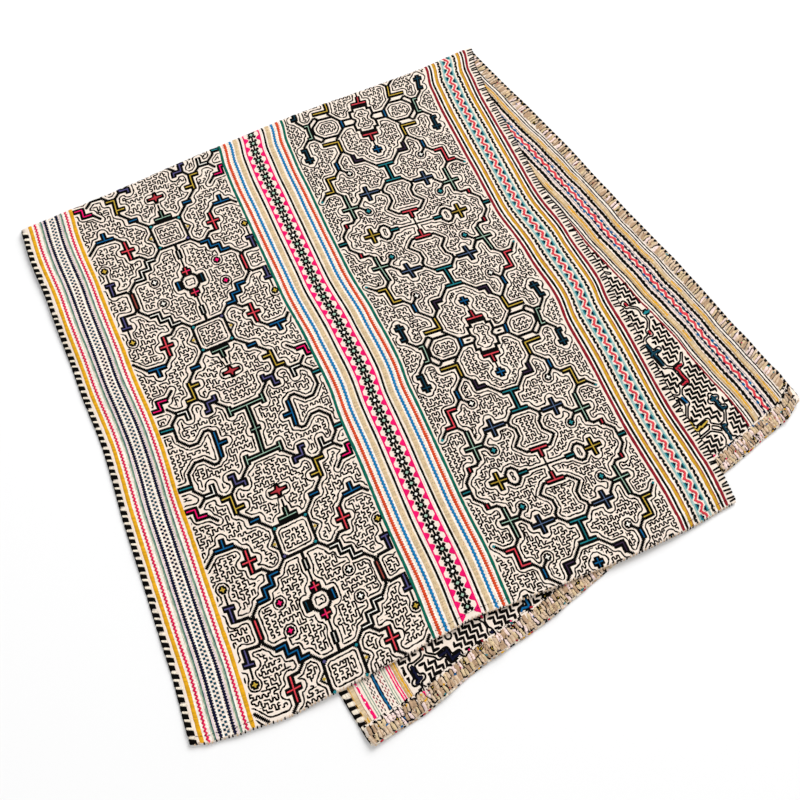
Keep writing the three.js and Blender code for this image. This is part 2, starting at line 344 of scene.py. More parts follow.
# Stripes as they show on the back: (style, thread, middle, half width)
BACK_STRIPES = (
    ("broken", "gold", 11.5, 3.8), ("knots", "hot_pink", 18.6, 1.5), ("pair", "sage", 25.0, 0.55),
    ("dashes", "maroon", 31.4, 2.2), ("edged", "blue", 38.3, 2.3), ("dashes", "maroon", 45.2, 2.2),
    ("pair", "sage", 51.2, 0.55), ("pair", "hot_pink", 57.6, 1.1), ("broken", "gold", 64.8, 3.4),
    ("solid", "green", 284.4, 1.3), ("solid", "orange", 292.4, 1.6), ("pair", "blue", 300.8, 0.8),
    ("broken", "tan", 308.4, 3.2), ("solid", "black", 315.1, 1.2), ("knots", "hot_pink", 322.5, 1.7),
    ("crossing", "black", 333.3, 1.5), ("knots", "hot_pink", 344.0, 1.7), ("solid", "black", 351.4, 1.2),
    ("broken", "tan", 358.0, 3.2), ("pair", "blue", 365.7, 0.8), ("solid", "orange", 373.8, 1.6),
    ("solid", "green", 381.8, 1.3),
    ("solid", "maroon", 617.6, 1.6), ("solid", "black", 621.4, 1.1), ("solid", "white", 623.6, 0.7),
    ("solid", "black", 626.0, 1.35), ("broken", "ochre", 631.9, 4.3), ("wavy", "black", 640.0, 2.3),
    ("solid", "blush", 644.2, 0.9), ("crossing", "coral", 653.3, 2.1), ("solid", "blush", 662.5, 0.9),
    ("wavy", "black", 666.7, 2.2), ("broken", "ochre", 673.2, 3.5), ("solid", "black", 678.8, 1.1),
    ("solid", "white", 680.9, 0.7), ("solid", "black", 683.0, 1.1),
)
# The back of the fields: turn of its zigzag rows, their gap, half period, swing and half width
BACK_ROW_TURN = 30.0
BACK_ROW_GAP = 7.3
BACK_ZIG = 5.2
BACK_SWING = 2.8
BACK_HALF = 2.1
BACK_CLEAR = 1.6
BACK_OUTLINE_AT = -0.6
BACK_WAVER_SEED = 3
SHOWN_MARGIN = 18.0
BACK_MARGIN = 13.5
MARGIN_PITCH = 4.2
GATHER_PITCH = 4.4
BACK_COLOURS = {"mint": "deep_teal", "white": "navy", "violet": "navy", "coral": "red", "slate": "blue"}
HEM_COLOURS = ("gold", "hot_pink", "red", "blue", "teal", "maroon", "navy")
# Tones of the gathers, from light to dark; the darker ones are painted shade of the puckers
GATHER_TONES_AND_SHADE = ("sand", "blush", "sand", "tan", "fawn")

# Spacing of the edge stitches
EDGE_PITCH = 9.0
BLOCK_PITCH = 9.4
NEAR_HEM_PITCH = 4.4
FAR_HEM_PITCH = 3.6
# Threads of the far hem's overcasting; the darker fawn among them is painted shade on the hem cord
FAR_HEM_THREADS = ("black", "sand", "cream", "sand", "black", "tan", "blush", "fawn", "black", "gold", "red", "cream")

# Weave of the ground, and its colours: the weave mixes a cream with painted light on the raised threads and painted
# shade in the hollows between them
WEAVE_PITCH = 1.25
WEAVE_THREADS = 40
GROUND_LIT_CREAM = "fdf5ec"
GROUND_HOLLOW_SHADE = "dcc3ac"

# Camera in the cloth's own plan: the point it looks at, its heading, height angle, roll, distance and lens
LOOK_AT = (367.9, 284.8)
HEADING = 35.1175
ELEVATION = 67.868
ROLL = 12.16
DISTANCE = 1068.6
LENS = 37.872
KEY_POWER = 300.0
FILL_POWER = 16.0
WORLD_LIGHT = 0.5


def smooth(low, high, value):
    x = np.clip((value - low) / (high - low), 0, 1)
    return x * x * (3 - 2 * x)


def edge_shift(table, along):
    """Shift at a place along an edge, eased between the rows of its table."""
    places = np.array([row[0] for row in table], float)
    shifts = np.array([row[1] for row in table], float)
    after = np.clip(np.searchsorted(places, along, side="left"), 1, len(places) - 1)
    before = after - 1
    blend = smooth(places[before], places[after], along)
    return shifts[before] + (shifts[after] - shifts[before]) * blend


def ridge_height(ridges, plan):
    height = np.zeros(plan.shape[:-1])
    for x, y, turn, length, width, top in ridges:
        angle = math.radians(turn)
        away = plan - np.array([x, y])
        along = (away[..., 0] * math.cos(angle) + away[..., 1] * math.sin(angle)) / length
        aside = (away[..., 1] * math.cos(angle) - away[..., 0] * math.sin(angle)) / width
        height += top * np.exp(-(along * along + aside * aside))
    return height


def soft_waves(plan, low, high):
    """Slow unevenness of worked cloth, from low to high."""
    x, y = plan[..., 0], plan[..., 1]
    waves = np.sin(x / 7.3 + 1.1 * np.sin(y / 31.0)) + np.sin(y / 8.9 + 1.3 * np.sin(x / 27.0) + 1.7)
    waves = waves + np.sin((x + y) / 17.0 + 0.6) + np.sin((x - 1.4 * y) / 23.0 + 2.1)
    return low + (high - low) * (waves + 4) / 8


FOLD_START = np.array([0.0, FOLD_AT_LEFT])
FOLD_END = np.array([CLOTH_WIDTH, FOLD_AT_RIGHT])
ALONG_FOLD = (FOLD_END - FOLD_START) / np.linalg.norm(FOLD_END - FOLD_START)
ACROSS_FOLD = np.array([-ALONG_FOLD[1], ALONG_FOLD[0]])


def mirror_at_fold(points):
    reach = (points - FOLD_START) @ ACROSS_FOLD
    return points - 2 * reach[..., None] * ACROSS_FOLD


def inside_line(start, end, points):
    along = (end - start) / np.linalg.norm(end - start)
    away = points - start
    return along[0] * away[..., 1] - along[1] * away[..., 0]


FAR_LEFT = mirror_at_fold(np.array([0.0, CLOTH_LENGTH]))
FAR_RIGHT = mirror_at_fold(np.array([CLOTH_WIDTH, CLOTH_LENGTH]))


def fold_row(s):
    """The t of the fold line at s."""
    return FOLD_AT_LEFT + (FOLD_AT_RIGHT - FOLD_AT_LEFT) * np.clip(s / CLOTH_WIDTH, 0, 1)


def fold_point(across, side):
    outer = FOLD_START + across[..., None] * (FOLD_END - FOLD_START)
    return outer + (edge_shift(FOLD_EDGE, across) + side * BEND_MIDDLE)[..., None] * ACROSS_FOLD


def sheet_thickness(from_hem):
    return THICKNESS + HEM_EXTRA * (1 - smooth(HEM_DEPTH - HEM_STEP, HEM_DEPTH, from_hem))


def upper_plan(across, to_fold):
    hem = np.stack([across * CLOTH_WIDTH, edge_shift(NEAR_HEM, across)], -1)
    plan = hem + (fold_point(across, -1) - hem) * to_fold[..., None]
    left, right = edge_shift(UPPER_LEFT_EDGE, to_fold), edge_shift(UPPER_RIGHT_EDGE, to_fold)
    plan[..., 0] += left + (right - left) * across
    return plan


def lower_plan(across, from_fold):
    hem = np.stack([across * CLOTH_WIDTH, CLOTH_LENGTH + edge_shift(FAR_HEM, across)], -1)
    start = fold_point(across, 1)
    flat = start + (hem - start) * from_fold[..., None]
    left, right = edge_shift(LOWER_LEFT_EDGE, from_fold), edge_shift(LOWER_RIGHT_EDGE, from_fold)
    flat[..., 0] += left + (right - left) * across
    return mirror_at_fold(flat)


def past_upper(plan):
    """How far a place lies outside the straight outline of the upper layer, to its right or past its hem."""
    return np.maximum(plan[..., 0] - CLOTH_WIDTH, -plan[..., 1])


def far_hem_puckers(across, from_hem):
    """Small folds that the hem's stitches pull into the turned-up edge."""
    s = across * CLOTH_WIDTH
    phase = s / 5.2 + 1.6 * np.sin(s / 37.0) + 0.9 * np.sin(s / 13.0)
    return (0.5 + 0.5 * np.sin(phase)) * (1 - smooth(4, 30, from_hem))


def upper_heights(plan, to_fold):
    past_hem = inside_line(FAR_LEFT, FAR_RIGHT, plan)
    past_left = -inside_line(FAR_LEFT, FOLD_START, plan)
    covered = smooth(-EDGE_CLEARANCE - FALL_WIDTH, -EDGE_CLEARANCE, np.minimum(past_hem, past_left))
    from_fold = (fold_point(np.zeros(1), -1)[0] - plan) @ ACROSS_FOLD
    rolled = 1 - smooth(0, FOLD_SETTLE, from_fold)
    resting = sheet_thickness(past_hem) + LAYER_GAP
    settled = resting + (2 * FOLD_RADIUS - resting) * rolled
    relief = ridge_height(UPPER_RIDGES, plan) + ridge_height(UPPER_CREASES, plan) + soft_waves(plan, 0, 0.9)
    underside = settled * covered + relief * (1 - rolled) + THREAD_ROOM
    top = underside + sheet_thickness(to_fold * FOLD_AT_LEFT) - THREAD_ROOM
    return underside, top


def lower_heights(plan, across, from_fold):
    from_hem = (1 - from_fold) * (CLOTH_LENGTH - FOLD_AT_LEFT)
    shown = smooth(0, 30, past_upper(plan))
    lift = ridge_height(LOWER_RIDGES, plan) + ridge_height(LOWER_CREASES, plan) + soft_waves(plan, 0, 1.0)
    lift = lift * shown + 1.1 * far_hem_puckers(across, from_hem) * smooth(-12, 4, past_upper(plan))
    return lift + THREAD_ROOM, lift + sheet_thickness(from_hem)


class FoldedSheet:
    """The folded cloth as a grid of places on its right and its wrong side."""

    def __init__(self):
        self.columns = np.linspace(0, CLOTH_WIDTH, COLUMN_COUNT)
        fractions = [row / FOLD_AT_LEFT for row in HEM_ROWS]
        open_rows = int((FOLD_AT_LEFT - HEM_ROWS[-1]) / OPEN_ROW)
        fractions += list(np.linspace(fractions[-1], 1, open_rows + 1)[1:])
        self.upper = np.array(fractions)
        self.bend = np.linspace(0, 1, BEND_ROWS + 1)
        self.lower = 1 - self.upper[::-1]
        self.row_starts = (0, len(self.upper) - 1, len(self.upper) - 1 + BEND_ROWS)
        across = self.columns / CLOTH_WIDTH
        grids = [self.upper_part(across), self.bend_part(across), self.lower_part(across)]
        self.wrong = np.concatenate([grids[0][0], grids[1][0][1:-1], grids[2][0]])
        self.right = np.concatenate([grids[0][1], grids[1][1][1:-1], grids[2][1]])
        low = self.right.reshape(-1, 3).min(0)
        high = self.right.reshape(-1, 3).max(0)
        self.middle = np.array([(low[0] + high[0]) / 2, (low[1] + high[1]) / 2, 0.0])
        self.right -= self.middle
        self.wrong -= self.middle
        self.normal = self.normals()

    def upper_part(self, across):
        to_fold, across = np.meshgrid(self.upper, across, indexing="ij")
        plan = upper_plan(across, to_fold)
        underside, top = upper_heights(plan, to_fold)
        return np.dstack([plan, underside]), np.dstack([plan, top])

    def bend_part(self, across):
        turned, across = np.meshgrid(self.bend * math.pi, across, indexing="ij")
        bottom = THREAD_ROOM
        sides = []
        for radius in (FOLD_RADIUS - THICKNESS / 2 + THREAD_ROOM / 2, BEND_MIDDLE - THREAD_ROOM / 2):
            plan = fold_point(across, -1) + (radius * np.sin(turned))[..., None] * ACROSS_FOLD
            plan = plan + (THREAD_ROOM / 2 * np.sin(turned))[..., None] * ACROSS_FOLD
            height = BEND_MIDDLE + bottom / 2 + radius * np.cos(turned)
            sides.append(np.dstack([plan, height]))
        return sides

    def lower_part(self, across):
        from_fold, across = np.meshgrid(self.lower, across, indexing="ij")
        plan = lower_plan(across, from_fold)
        under, over = lower_heights(plan, across, from_fold)
        return np.dstack([plan, over]), np.dstack([plan, under])

    def normals(self):
        """Unit normals of the right side, out of the cloth."""
        along = np.gradient(self.right, axis=0)
        across = np.gradient(self.right, axis=1)
        normal = np.cross(across, along)
        return normal / np.linalg.norm(normal, axis=2, keepdims=True)

    def row_of(self, s, t):
        """Row of the grid, as a fraction, for places (s, t)."""
        fold = fold_row(s)
        upper_end, bend_end = self.row_starts[1], self.row_starts[2]
        to_fold = t / (fold - BEND_HALF)
        from_fold = (t - fold - BEND_HALF) / (CLOTH_LENGTH - fold - BEND_HALF)
        on_upper = np.interp(to_fold, self.upper, np.arange(len(self.upper)))
        on_upper = on_upper + np.minimum(to_fold, 0) / (self.upper[1] - self.upper[0])
        on_bend = upper_end + (t - fold + BEND_HALF) / (2 * BEND_HALF) * BEND_ROWS
        on_lower = bend_end + np.interp(from_fold, self.lower, np.arange(len(self.lower)))
        on_lower = on_lower + np.maximum(from_fold - 1, 0) / (self.lower[-1] - self.lower[-2])
        return np.where(to_fold < 1, on_upper, np.where(from_fold > 0, on_lower, on_bend))

    def place(self, s, t, height, wrong=False):
        """Points in millimetres at a height over the right or the wrong side."""
        column = s / (self.columns[1] - self.columns[0])
        row = self.row_of(s, t)
        left = np.clip(np.floor(column).astype(int), 0, len(self.columns) - 2)
        below = np.clip(np.floor(row).astype(int), 0, len(self.right) - 2)
        x = (column - left)[:, None]
        y = (row - below)[:, None]
        side = self.wrong if wrong else self.right

        def mixed(grid):
            near = grid[below, left] * (1 - x) + grid[below, left + 1] * x
            far = grid[below + 1, left] * (1 - x) + grid[below + 1, left + 1] * x
            return near * (1 - y) + far * y

        normal = mixed(self.normal)
        normal /= np.linalg.norm(normal, axis=1, keepdims=True)
        return mixed(side) + normal * (height * (-1 if wrong else 1))[:, None]


@functools.lru_cache(maxsize=None)
def folded_sheet():
    return FoldedSheet()


def mesh_object(name, points, faces, material, maps=()):
    """Object at the origin from points in millimetres, four-cornered faces and per-point map coordinates."""
    mesh = bpy.data.meshes.new(name)
    faces = np.asarray(faces, np.int32)
    mesh.vertices.add(len(points))
    mesh.vertices.foreach_set("co", (np.asarray(points) * MM).astype(np.float32).ravel())
    mesh.loops.add(faces.size)
    mesh.loops.foreach_set("vertex_index", faces.ravel())
    mesh.polygons.add(len(faces))
    mesh.polygons.foreach_set("loop_start", np.arange(0, faces.size, faces.shape[1], dtype=np.int32))
    mesh.polygons.foreach_set("use_smooth", np.ones(len(faces), bool))
    for map_name, values in maps:
        layer = mesh.uv_layers.new(name=map_name)
        layer.uv.foreach_set("vector", np.asarray(values)[faces.ravel()].astype(np.float32).ravel())
    mesh.update(calc_edges=True)
    mesh.validate()
    mesh.materials.append(material)
    piece = bpy.data.objects.new(name, mesh)
    bpy.context.scene.collection.objects.link(piece)
    return piece


def resampled(points, step):
    """Points along a polyline, its corners kept, no further apart than step."""
    points = np.asarray(points, float)
    parts = [points[:1]]
    for start, end in zip(points[:-1], points[1:]):
        count = max(1, math.ceil(np.linalg.norm(end - start) / step))
        share = np.arange(1, count + 1)[:, None] / count
        parts.append(start + (end - start) * share)
    return np.concatenate(parts)


def side_steps(points):
    """Unit steps to the left of a polyline, stretched at its corners."""
    legs = np.diff(points, axis=0)
    legs /= np.maximum(np.linalg.norm(legs, axis=1, keepdims=True), 1e-9)
    before = np.concatenate([legs[:1], legs])
    after = np.concatenate([legs, legs[-1:]])
    middle = before + after
    middle /= np.maximum(np.linalg.norm(middle, axis=1, keepdims=True), 1e-9)
    stretch = 1 / np.maximum(np.sum(middle * before, axis=1), 0.78)
    return np.stack([-middle[:, 1], middle[:, 0]], 1) * stretch[:, None]


ROOF = ((-1, 0), (0, 1), (1, 0))
ROUND = ((-1, 0), (-0.68, 0.82), (0.68, 0.82), (1, 0))
FULL = ((-1, 0), (-0.72, 0.78), (0, 1), (0.72, 0.78), (1, 0))


class Needlework:
    """Gathers worked lines as strips over the cloth and makes them one mesh. Plain work has the simplest section
    throughout, as where it faces the table."""

    def __init__(self, seed=0, plain=False):
        self.rng = np.random.default_rng(seed)
        self.plain = plain
        self.places = []
        self.heights = []
        self.maps = []
        self.faces = []
        self.count = 0

    def add_strip(self, grid, heights, row):
        """grid is points x section x (s, t)."""
        length, section = grid.shape[:2]
        steps = np.linalg.norm(np.diff(grid[:, section // 2], axis=0), axis=1)
        along = np.concatenate([[0], np.cumsum(steps)]) + self.rng.integers(0, STITCHES_IN_MAP) * STITCH_LENGTH
        u = along / (STITCH_LENGTH * STITCHES_IN_MAP)
        v = (row + ROW_INSET + (1 - 2 * ROW_INSET) * np.linspace(0, 1, section)) / len(THREADS)
        self.places.append(grid.reshape(-1, 2))
        self.heights.append(heights.ravel())
        self.maps.append(np.stack(np.broadcast_arrays(u[:, None], v[None, :]), -1).reshape(-1, 2))
        index = self.count + np.arange(length * section).reshape(length, section)
        corners = (index[:-1, 1:], index[:-1, :-1], index[1:, :-1], index[1:, 1:])
        self.faces.append(np.stack([corner.ravel() for corner in corners], 1))
        self.count += length * section

    def line(self, points, half, height, thread, base=-0.08, profile=ROOF, ends=0.35):
        """A worked line; half may differ from point to point, and its ends narrow and dip."""
        points = np.asarray(points, float)
        half = np.broadcast_to(np.asarray(half, float), len(points)).copy()
        rise = np.ones(len(points))
        if ends < 1:
            half[[0, -1]] *= ends
            rise[[0, -1]] *= 0.35
        sides = side_steps(points)
        profile = np.array(ROOF if self.plain else profile)
        grid = points[:, None] + sides[:, None] * (half[:, None] * profile[None, :, 0])[..., None]
        self.add_strip(grid, base + height * rise[:, None] * profile[None, :, 1], ROW[thread])

    def make(self, name, sheet, material, wrong=False, press=1.0):
        """One mesh of all that was worked. The press flattens it, as where it lies on the table."""
        places = np.concatenate(self.places)
        points = sheet.place(places[:, 0], places[:, 1], np.concatenate(self.heights) * press, wrong)
        points[:, 2] = np.maximum(points[:, 2], TABLE_CLEARANCE)
        faces = np.concatenate(self.faces)
        if wrong:
            faces = faces[:, ::-1]
        return mesh_object(name, points, faces, material, [("OFBake", np.concatenate(self.maps))])


def runs(points, mask, least=2):
    """Stretches of a polyline where mask holds."""
    edges = np.flatnonzero(np.diff(np.concatenate([[0], mask.astype(int), [0]])))
    return [points[start:end] for start, end in zip(edges[::2], edges[1::2]) if end - start >= least]


def charted(field):
    """The field's chart laid out over the whole cut: (kind, thread, points)."""
    left, right, middle, start, half_rows, chart, seed, pitch = FIELDS[field]
    half_repeat = half_rows * CHART_UNIT
    marks = []
    first = math.floor(-start / (2 * half_repeat)) - 1
    last = math.ceil((CLOTH_LENGTH - start) / (2 * half_repeat)) + 1
    for repeat in range(first, last + 1):
        row = start + 2 * half_repeat * repeat
        for up in (1, -1):
            if row + up * half_repeat / 2 < -half_repeat or row + up * half_repeat / 2 > CLOTH_LENGTH + half_repeat:
                continue
            for out in (1, -1):
                for kind, thread, *points in chart:
                    if isinstance(thread, tuple):
                        thread = thread[(up * out > 0) == (repeat % 2 == 0)]
                    placed = np.array(points, float) * CHART_UNIT * (out, up) + (middle, row)
                    marks.append((kind, thread, placed))
    return marks


def inside(points, left, right):
    return ((points[:, 0] > left) & (points[:, 0] < right) & (points[:, 1] > 0.8)
            & (points[:, 1] < CLOTH_LENGTH - 0.8))


MARK_HALF = {"line": LINE_HALF, "fine": FINE_HALF, "core": BORDER_HALF, "spot": 4.6, "gem": 2.0, "star": 4.4}


def clearance(marks, left, right):
    """Distance from the edge of the nearest mark, on a grid over the field."""
    xs = np.arange(left, right + CHART_STEP, CHART_STEP)
    ys = np.arange(0, CLOTH_LENGTH + CHART_STEP, CHART_STEP)
    reach = FILL_FROM + 6
    field = np.minimum(xs - left, right - xs)[None, :] + FIELD_EDGE_LEAD
    field = np.minimum(field, np.minimum(ys, CLOTH_LENGTH - ys)[:, None] + FIELD_EDGE_LEAD)
    field = np.minimum(field, reach * 2)
    for kind, thread, points in marks:
        half = MARK_HALF[kind]
        if kind == "star":
            points = points + [[-8, 0], [8, 0]]
        ends = points[1:] if len(points) > 1 else points
        for start, end in zip(points, ends):
            low = np.minimum(start, end) - half - reach
            high = np.maximum(start, end) + half + reach
            i0, i1 = np.searchsorted(xs, (low[0], high[0]))
            j0, j1 = np.searchsorted(ys, (low[1], high[1]))
            if i0 >= i1 or j0 >= j1:
                continue
            x = xs[None, i0:i1] - start[0]
            y = ys[j0:j1, None] - start[1]
            leg = end - start
            share = np.clip((x * leg[0] + y * leg[1]) / max(leg @ leg, 1e-9), 0, 1)
            away = np.hypot(x - share * leg[0], y - share * leg[1]) - half
            field[j0:j1, i0:i1] = np.minimum(field[j0:j1, i0:i1], away)
    return xs, ys, field


def level_lines(xs, ys, field, level):
    """Lines where the field has a level, chained from cell to cell."""
    above = field > level
    crossing = {}

    def add(cell_edges):
        first, second = cell_edges
        crossing.setdefault(first, []).append(second)
        crossing.setdefault(second, []).append(first)

    mixed = above[:-1, :-1].astype(int) + above[1:, :-1] + above[:-1, 1:] + above[1:, 1:]
    for j, i in zip(*np.nonzero((mixed > 0) & (mixed < 4))):
        a, b = above[j, i], above[j, i + 1]
        c, d = above[j + 1, i + 1], above[j + 1, i]
        edges = []
        if a != b:
            edges.append((j, i, 0))
        if b != c:
            edges.append((j, i + 1, 1))
        if c != d:
            edges.append((j + 1, i, 0))
        if d != a:
            edges.append((j, i, 1))
        add(edges[:2])
        if len(edges) == 4:
            add(edges[2:])

    def spot(edge):
        j, i, upright = edge
        near = field[j, i]
        far = field[j + 1, i] if upright else field[j, i + 1]
        share = (level - near) / (far - near)
        if upright:
            return xs[i], ys[j] + share * CHART_STEP
        return xs[i] + share * CHART_STEP, ys[j]

    lines = []
    used = set()
    for start in crossing:
        if start in used:
            continue
        chain = [start]
        used.add(start)
        for grow in (1, -1):
            while True:
                options = [edge for edge in crossing[chain[-1]] if edge not in used]
                if not options:
                    break
                used.add(options[0])
                chain.append(options[0])
            chain.reverse()
        closed = len(chain) > 6 and chain[0] in crossing[chain[-1]]
        points = np.array([spot(edge) for edge in chain])
        if closed:
            points = np.concatenate([points, points[:1]])
        lines.append((points, closed))
    return lines


def eased(points, closed, times=2):
    """A chained line with its small corners rounded."""
    for turn in range(times):
        middle = (points[:-1] + points[1:]) / 2
        if closed:
            points = np.concatenate([middle, middle[:1]])
        else:
            points = np.concatenate([points[:1], middle, points[-1:]])
    return points


def thinned(points, step):
    """Every so many points of a line, so that they lie about step apart."""
    lengths = np.concatenate([[0], np.cumsum(np.linalg.norm(np.diff(points, axis=0), axis=1))])
    count = max(2, int(round(lengths[-1] / step)) + 1)
    wanted = np.linspace(0, lengths[-1], count)
    return np.stack([np.interp(wanted, lengths, points[:, axis]) for axis in (0, 1)], 1)


STEPS = ((1, 0), (0, 1), (-1, 0), (0, -1))


def next_step(free, place, heading, turn, straight, drift, rng):
    """The next step of a hooked path: two turns one way, then two the other, with one straight step on the
    side it drifts to. Returns the score, the new heading, the place and the change of heading."""
    rows, columns = free.shape
    best = (0, None, None, None)
    for change in ((-1, 0, 1) if heading is not None else (0, 1, 2, 3)):
        towards = (change if heading is None else heading + change) % 4
        i, j = place[0] + STEPS[towards][0], place[1] + STEPS[towards][1]
        if not (0 <= j < rows and 0 <= i < columns and free[j, i]):
            continue
        if heading is None:
            score = 1.0
        elif change == 0:
            if straight == 2:
                continue
            score = 0.05 if straight else (9.0 if towards == drift and turn[1] == 2 else 0.6)
        elif change == turn[0]:
            score = 6.0 if turn[1] == 1 else 0.05
        else:
            score = (1.2, 0.5, 6.0)[min(turn[1], 2)]
        score *= 0.6 + 0.8 * rng.random()
        if score > best[0]:
            best = (score, towards, (i, j), change)
    return best


def hooked_walk(free, place, heading, rng):
    path = []
    turn = (0, 0)
    straight = 0
    drift = int(rng.integers(0, 4))
    for step in range(int(rng.integers(7, 22))):
        score, towards, spot, change = next_step(free, place, heading, turn, straight, drift, rng)
        if not score:
            break
        heading, place = towards, spot
        free[place[1], place[0]] = False
        path.append(place)
        if change in (-1, 1):
            turn = (change, turn[1] + 1 if change == turn[0] else 1)
            straight = 0
        elif change == 0:
            straight += 1
    return path


def wandering(free, rng):
    """Hooked paths that never cross and together fill the free places of a lattice."""
    rows, columns = free.shape
    free = free.copy()
    owner = np.zeros(free.shape, int)
    paths = []
    starts = np.argwhere(free)
    starts = starts[np.lexsort((rng.random(len(starts)), (starts[:, 0] + starts[:, 1]) // 2))]
    for j, i in starts:
        if not free[j, i]:
            continue
        free[j, i] = False
        forth = hooked_walk(free, (i, j), None, rng)
        back = []
        if len(forth) > 1:
            heading = STEPS.index((int(i - forth[0][0]), int(j - forth[0][1])))
            back = hooked_walk(free, (i, j), heading, rng)
        path = back[::-1] + [(i, j)] + forth
        for x, y in path:
            owner[y, x] = len(paths) + 1
        paths.append(path)
    joined = []
    for number, path in enumerate(paths, 1):
        for end in ((0, -1) if len(path) > 1 else (0,)):
            if len(path) > 3 and rng.random() < 0.45:
                continue
            x, y = path[end]
            spots = [(x + dx, y + dy) for dx, dy in STEPS
                     if 0 <= x + dx < columns and 0 <= y + dy < rows and owner[y + dy, x + dx] not in (0, number)]
            if spots:
                spot = spots[int(rng.integers(0, len(spots)))]
                path = [spot] + path if end == 0 else path + [spot]
            if len(path) <= 3:
                break
        if len(path) > 1:
            joined.append(np.array(path, float))
    return joined


def rounded_path(path):
    """A lattice path with each turn rounded."""
    if len(path) < 3:
        return path
    middles = (path[:-1] + path[1:]) / 2
    points = [path[0]]
    for index in range(1, len(path) - 1):
        points.append(middles[index - 1])
        if np.abs(path[index + 1] - path[index - 1]).min() > 0.5:
            points.append(path[index] * 0.62 + (middles[index - 1] + middles[index]) * 0.19)
    points.append(middles[-1])
    points.append(path[-1])
    return np.array(points)


def stitched_widths(points, half, rng, diagonal=0.42):
    """Half widths that change from stitch to stitch, more on slanting lines."""
    legs = np.gradient(points, axis=0)
    slant = np.minimum(np.abs(legs[:, 0]), np.abs(legs[:, 1])) / np.maximum(np.linalg.norm(legs, axis=1), 1e-9)
    beat = np.where(np.arange(len(points)) % 2 == 0, 1.0, -1.0)
    return half * (1 + beat * (0.09 + diagonal * slant) + rng.normal(0, 0.05, len(points)))


def crossed_arms(work, middle, sizes, thread, base, height):
    """A small four-pointed star: (reach across, half at its middle and tip, reach along, the same again)."""
    across, half, tip, along, half_along, tip_along = sizes
    arm = middle + np.array([[-across, 0], [-across / 2, 0], [0, 0], [across / 2, 0], [across, 0]])
    widths = np.array([tip, (half + tip) / 2.4, half, (half + tip) / 2.4, tip])
    work.line(arm, widths, height, thread, base=base, profile=ROUND, ends=1)
    arm = middle + np.array([[0, -along], [0, 0], [0, along]])
    widths = np.array([tip_along, half_along, tip_along])
    work.line(arm, widths, height + 0.02, thread, base=base, profile=ROUND, ends=1)


STAR_BORDER = (12.4, 4.3, 3.3, 9.6, 4.6, 2.6)
STAR_CORE = (9.6, 2.3, 0.3, 5.6, 2.2, 0.3)
SPOT_BORDER = (5.0, 4.6, 2.8, 5.0, 4.6, 2.8)
SPOT_CORE = (3.0, 1.7, 0.4, 3.0, 1.7, 0.4)


def work_mark(work, kind, thread, points, limits):
    """One mark of a chart, cut off at the field's limits."""
    if kind in ("line", "fine", "core"):
        fine = resampled(points, 1.75)
        for part in runs(fine, inside(fine, *limits)):
            if kind == "line":
                half = bpy.context.scene.cloth_settings.outline_width / MM / 2
                widths = stitched_widths(part, half, work.rng)
                work.line(part, widths, LINE_HEIGHT, thread, profile=FULL, ends=0.8)
            elif kind == "fine":
                work.line(part, stitched_widths(part, FINE_HALF, work.rng), FINE_HEIGHT, thread, ends=0.8)
            else:
                work.line(side_ends(part, BORDER_LEAD), BORDER_HALF, BORDER_HEIGHT, "black", profile=FULL, ends=0.96)
                widths = stitched_widths(part, CORE_HALVES.get(thread, CORE_HALF), work.rng, 0.1)
                work.line(part, widths, CORE_HEIGHT, thread, base=CORE_BASE, profile=ROUND, ends=0.9)
        return
    middle = points[0]
    if not inside(points[:1], *limits)[0]:
        return
    if kind == "gem":
        diamond(work, middle, 2.1, CORE_HEIGHT, thread, CORE_BASE)
        return
    border, core = (STAR_BORDER, STAR_CORE) if kind == "star" else (SPOT_BORDER, SPOT_CORE)
    crossed_arms(work, middle, border, "black", 0, BORDER_HEIGHT)
    crossed_arms(work, middle, core, thread, CORE_BASE, CORE_HEIGHT)


def side_ends(part, reach):
    """A line made longer by reach at both ends."""
    start = part[0] - part[1]
    end = part[-1] - part[-2]
    start = part[0] + start / max(np.linalg.norm(start), 1e-9) * reach
    end = part[-1] + end / max(np.linalg.norm(end), 1e-9) * reach
    return np.concatenate([[start], part, [end]])


def diamond(work, middle, reach, height, thread, base):
    points = middle + np.array([[-reach, 0], [-reach / 2, 0], [0, 0], [reach / 2, 0], [reach, 0]])
    work.line(points, reach * np.array([0.12, 0.6, 1, 0.6, 0.12]), height, thread, base=base, profile=ROUND, ends=1)


@functools.lru_cache(maxsize=None)
def field_lines(field):
    """A field's marks, inner contours and fill, and its clearance: (marks, contours, fills, clearance)."""
    left, right = FIELDS[field][:2]
    seed, pitch = FIELDS[field][6:]
    rng = np.random.default_rng(seed)
    marks = charted(field)
    xs, ys, free = clearance(marks, left, right)
    contours = []
    for points, closed in level_lines(xs, ys, free, CONTOUR_AT):
        if len(points) > 9:
            contours.append(thinned(eased(points, closed), 2.4))
    columns = np.arange(left + pitch / 2, right, pitch)
    rows = np.arange(pitch / 2, CLOTH_LENGTH, pitch)
    i = np.clip(np.round((columns - xs[0]) / CHART_STEP).astype(int), 0, len(xs) - 1)
    j = np.clip(np.round((rows - ys[0]) / CHART_STEP).astype(int), 0, len(ys) - 1)
    fills = []
    for path in wandering(free[np.ix_(j, i)] > FILL_FROM, rng):
        placed = rounded_path(path) * pitch + (columns[0], rows[0])
        fills.append(placed + rng.normal(0, 0.17, placed.shape))
    return marks, contours, fills, (xs, ys, free)


def on_upper(points):
    """Whether places lie on the upper layer or its turn, and not on the lower layer."""
    return points[:, 1] < fold_row(points[:, 0]) + BEND_HALF + 1.5


def on_lower(points):
    return ~on_upper(points)


def parts_of(points, chosen):
    """The stretches of a mark that are chosen, the mark itself where it is one place."""
    if len(points) == 1:
        return [points] if chosen(points)[0] else []
    points = resampled(points, 2.0)
    return runs(points, chosen(points))


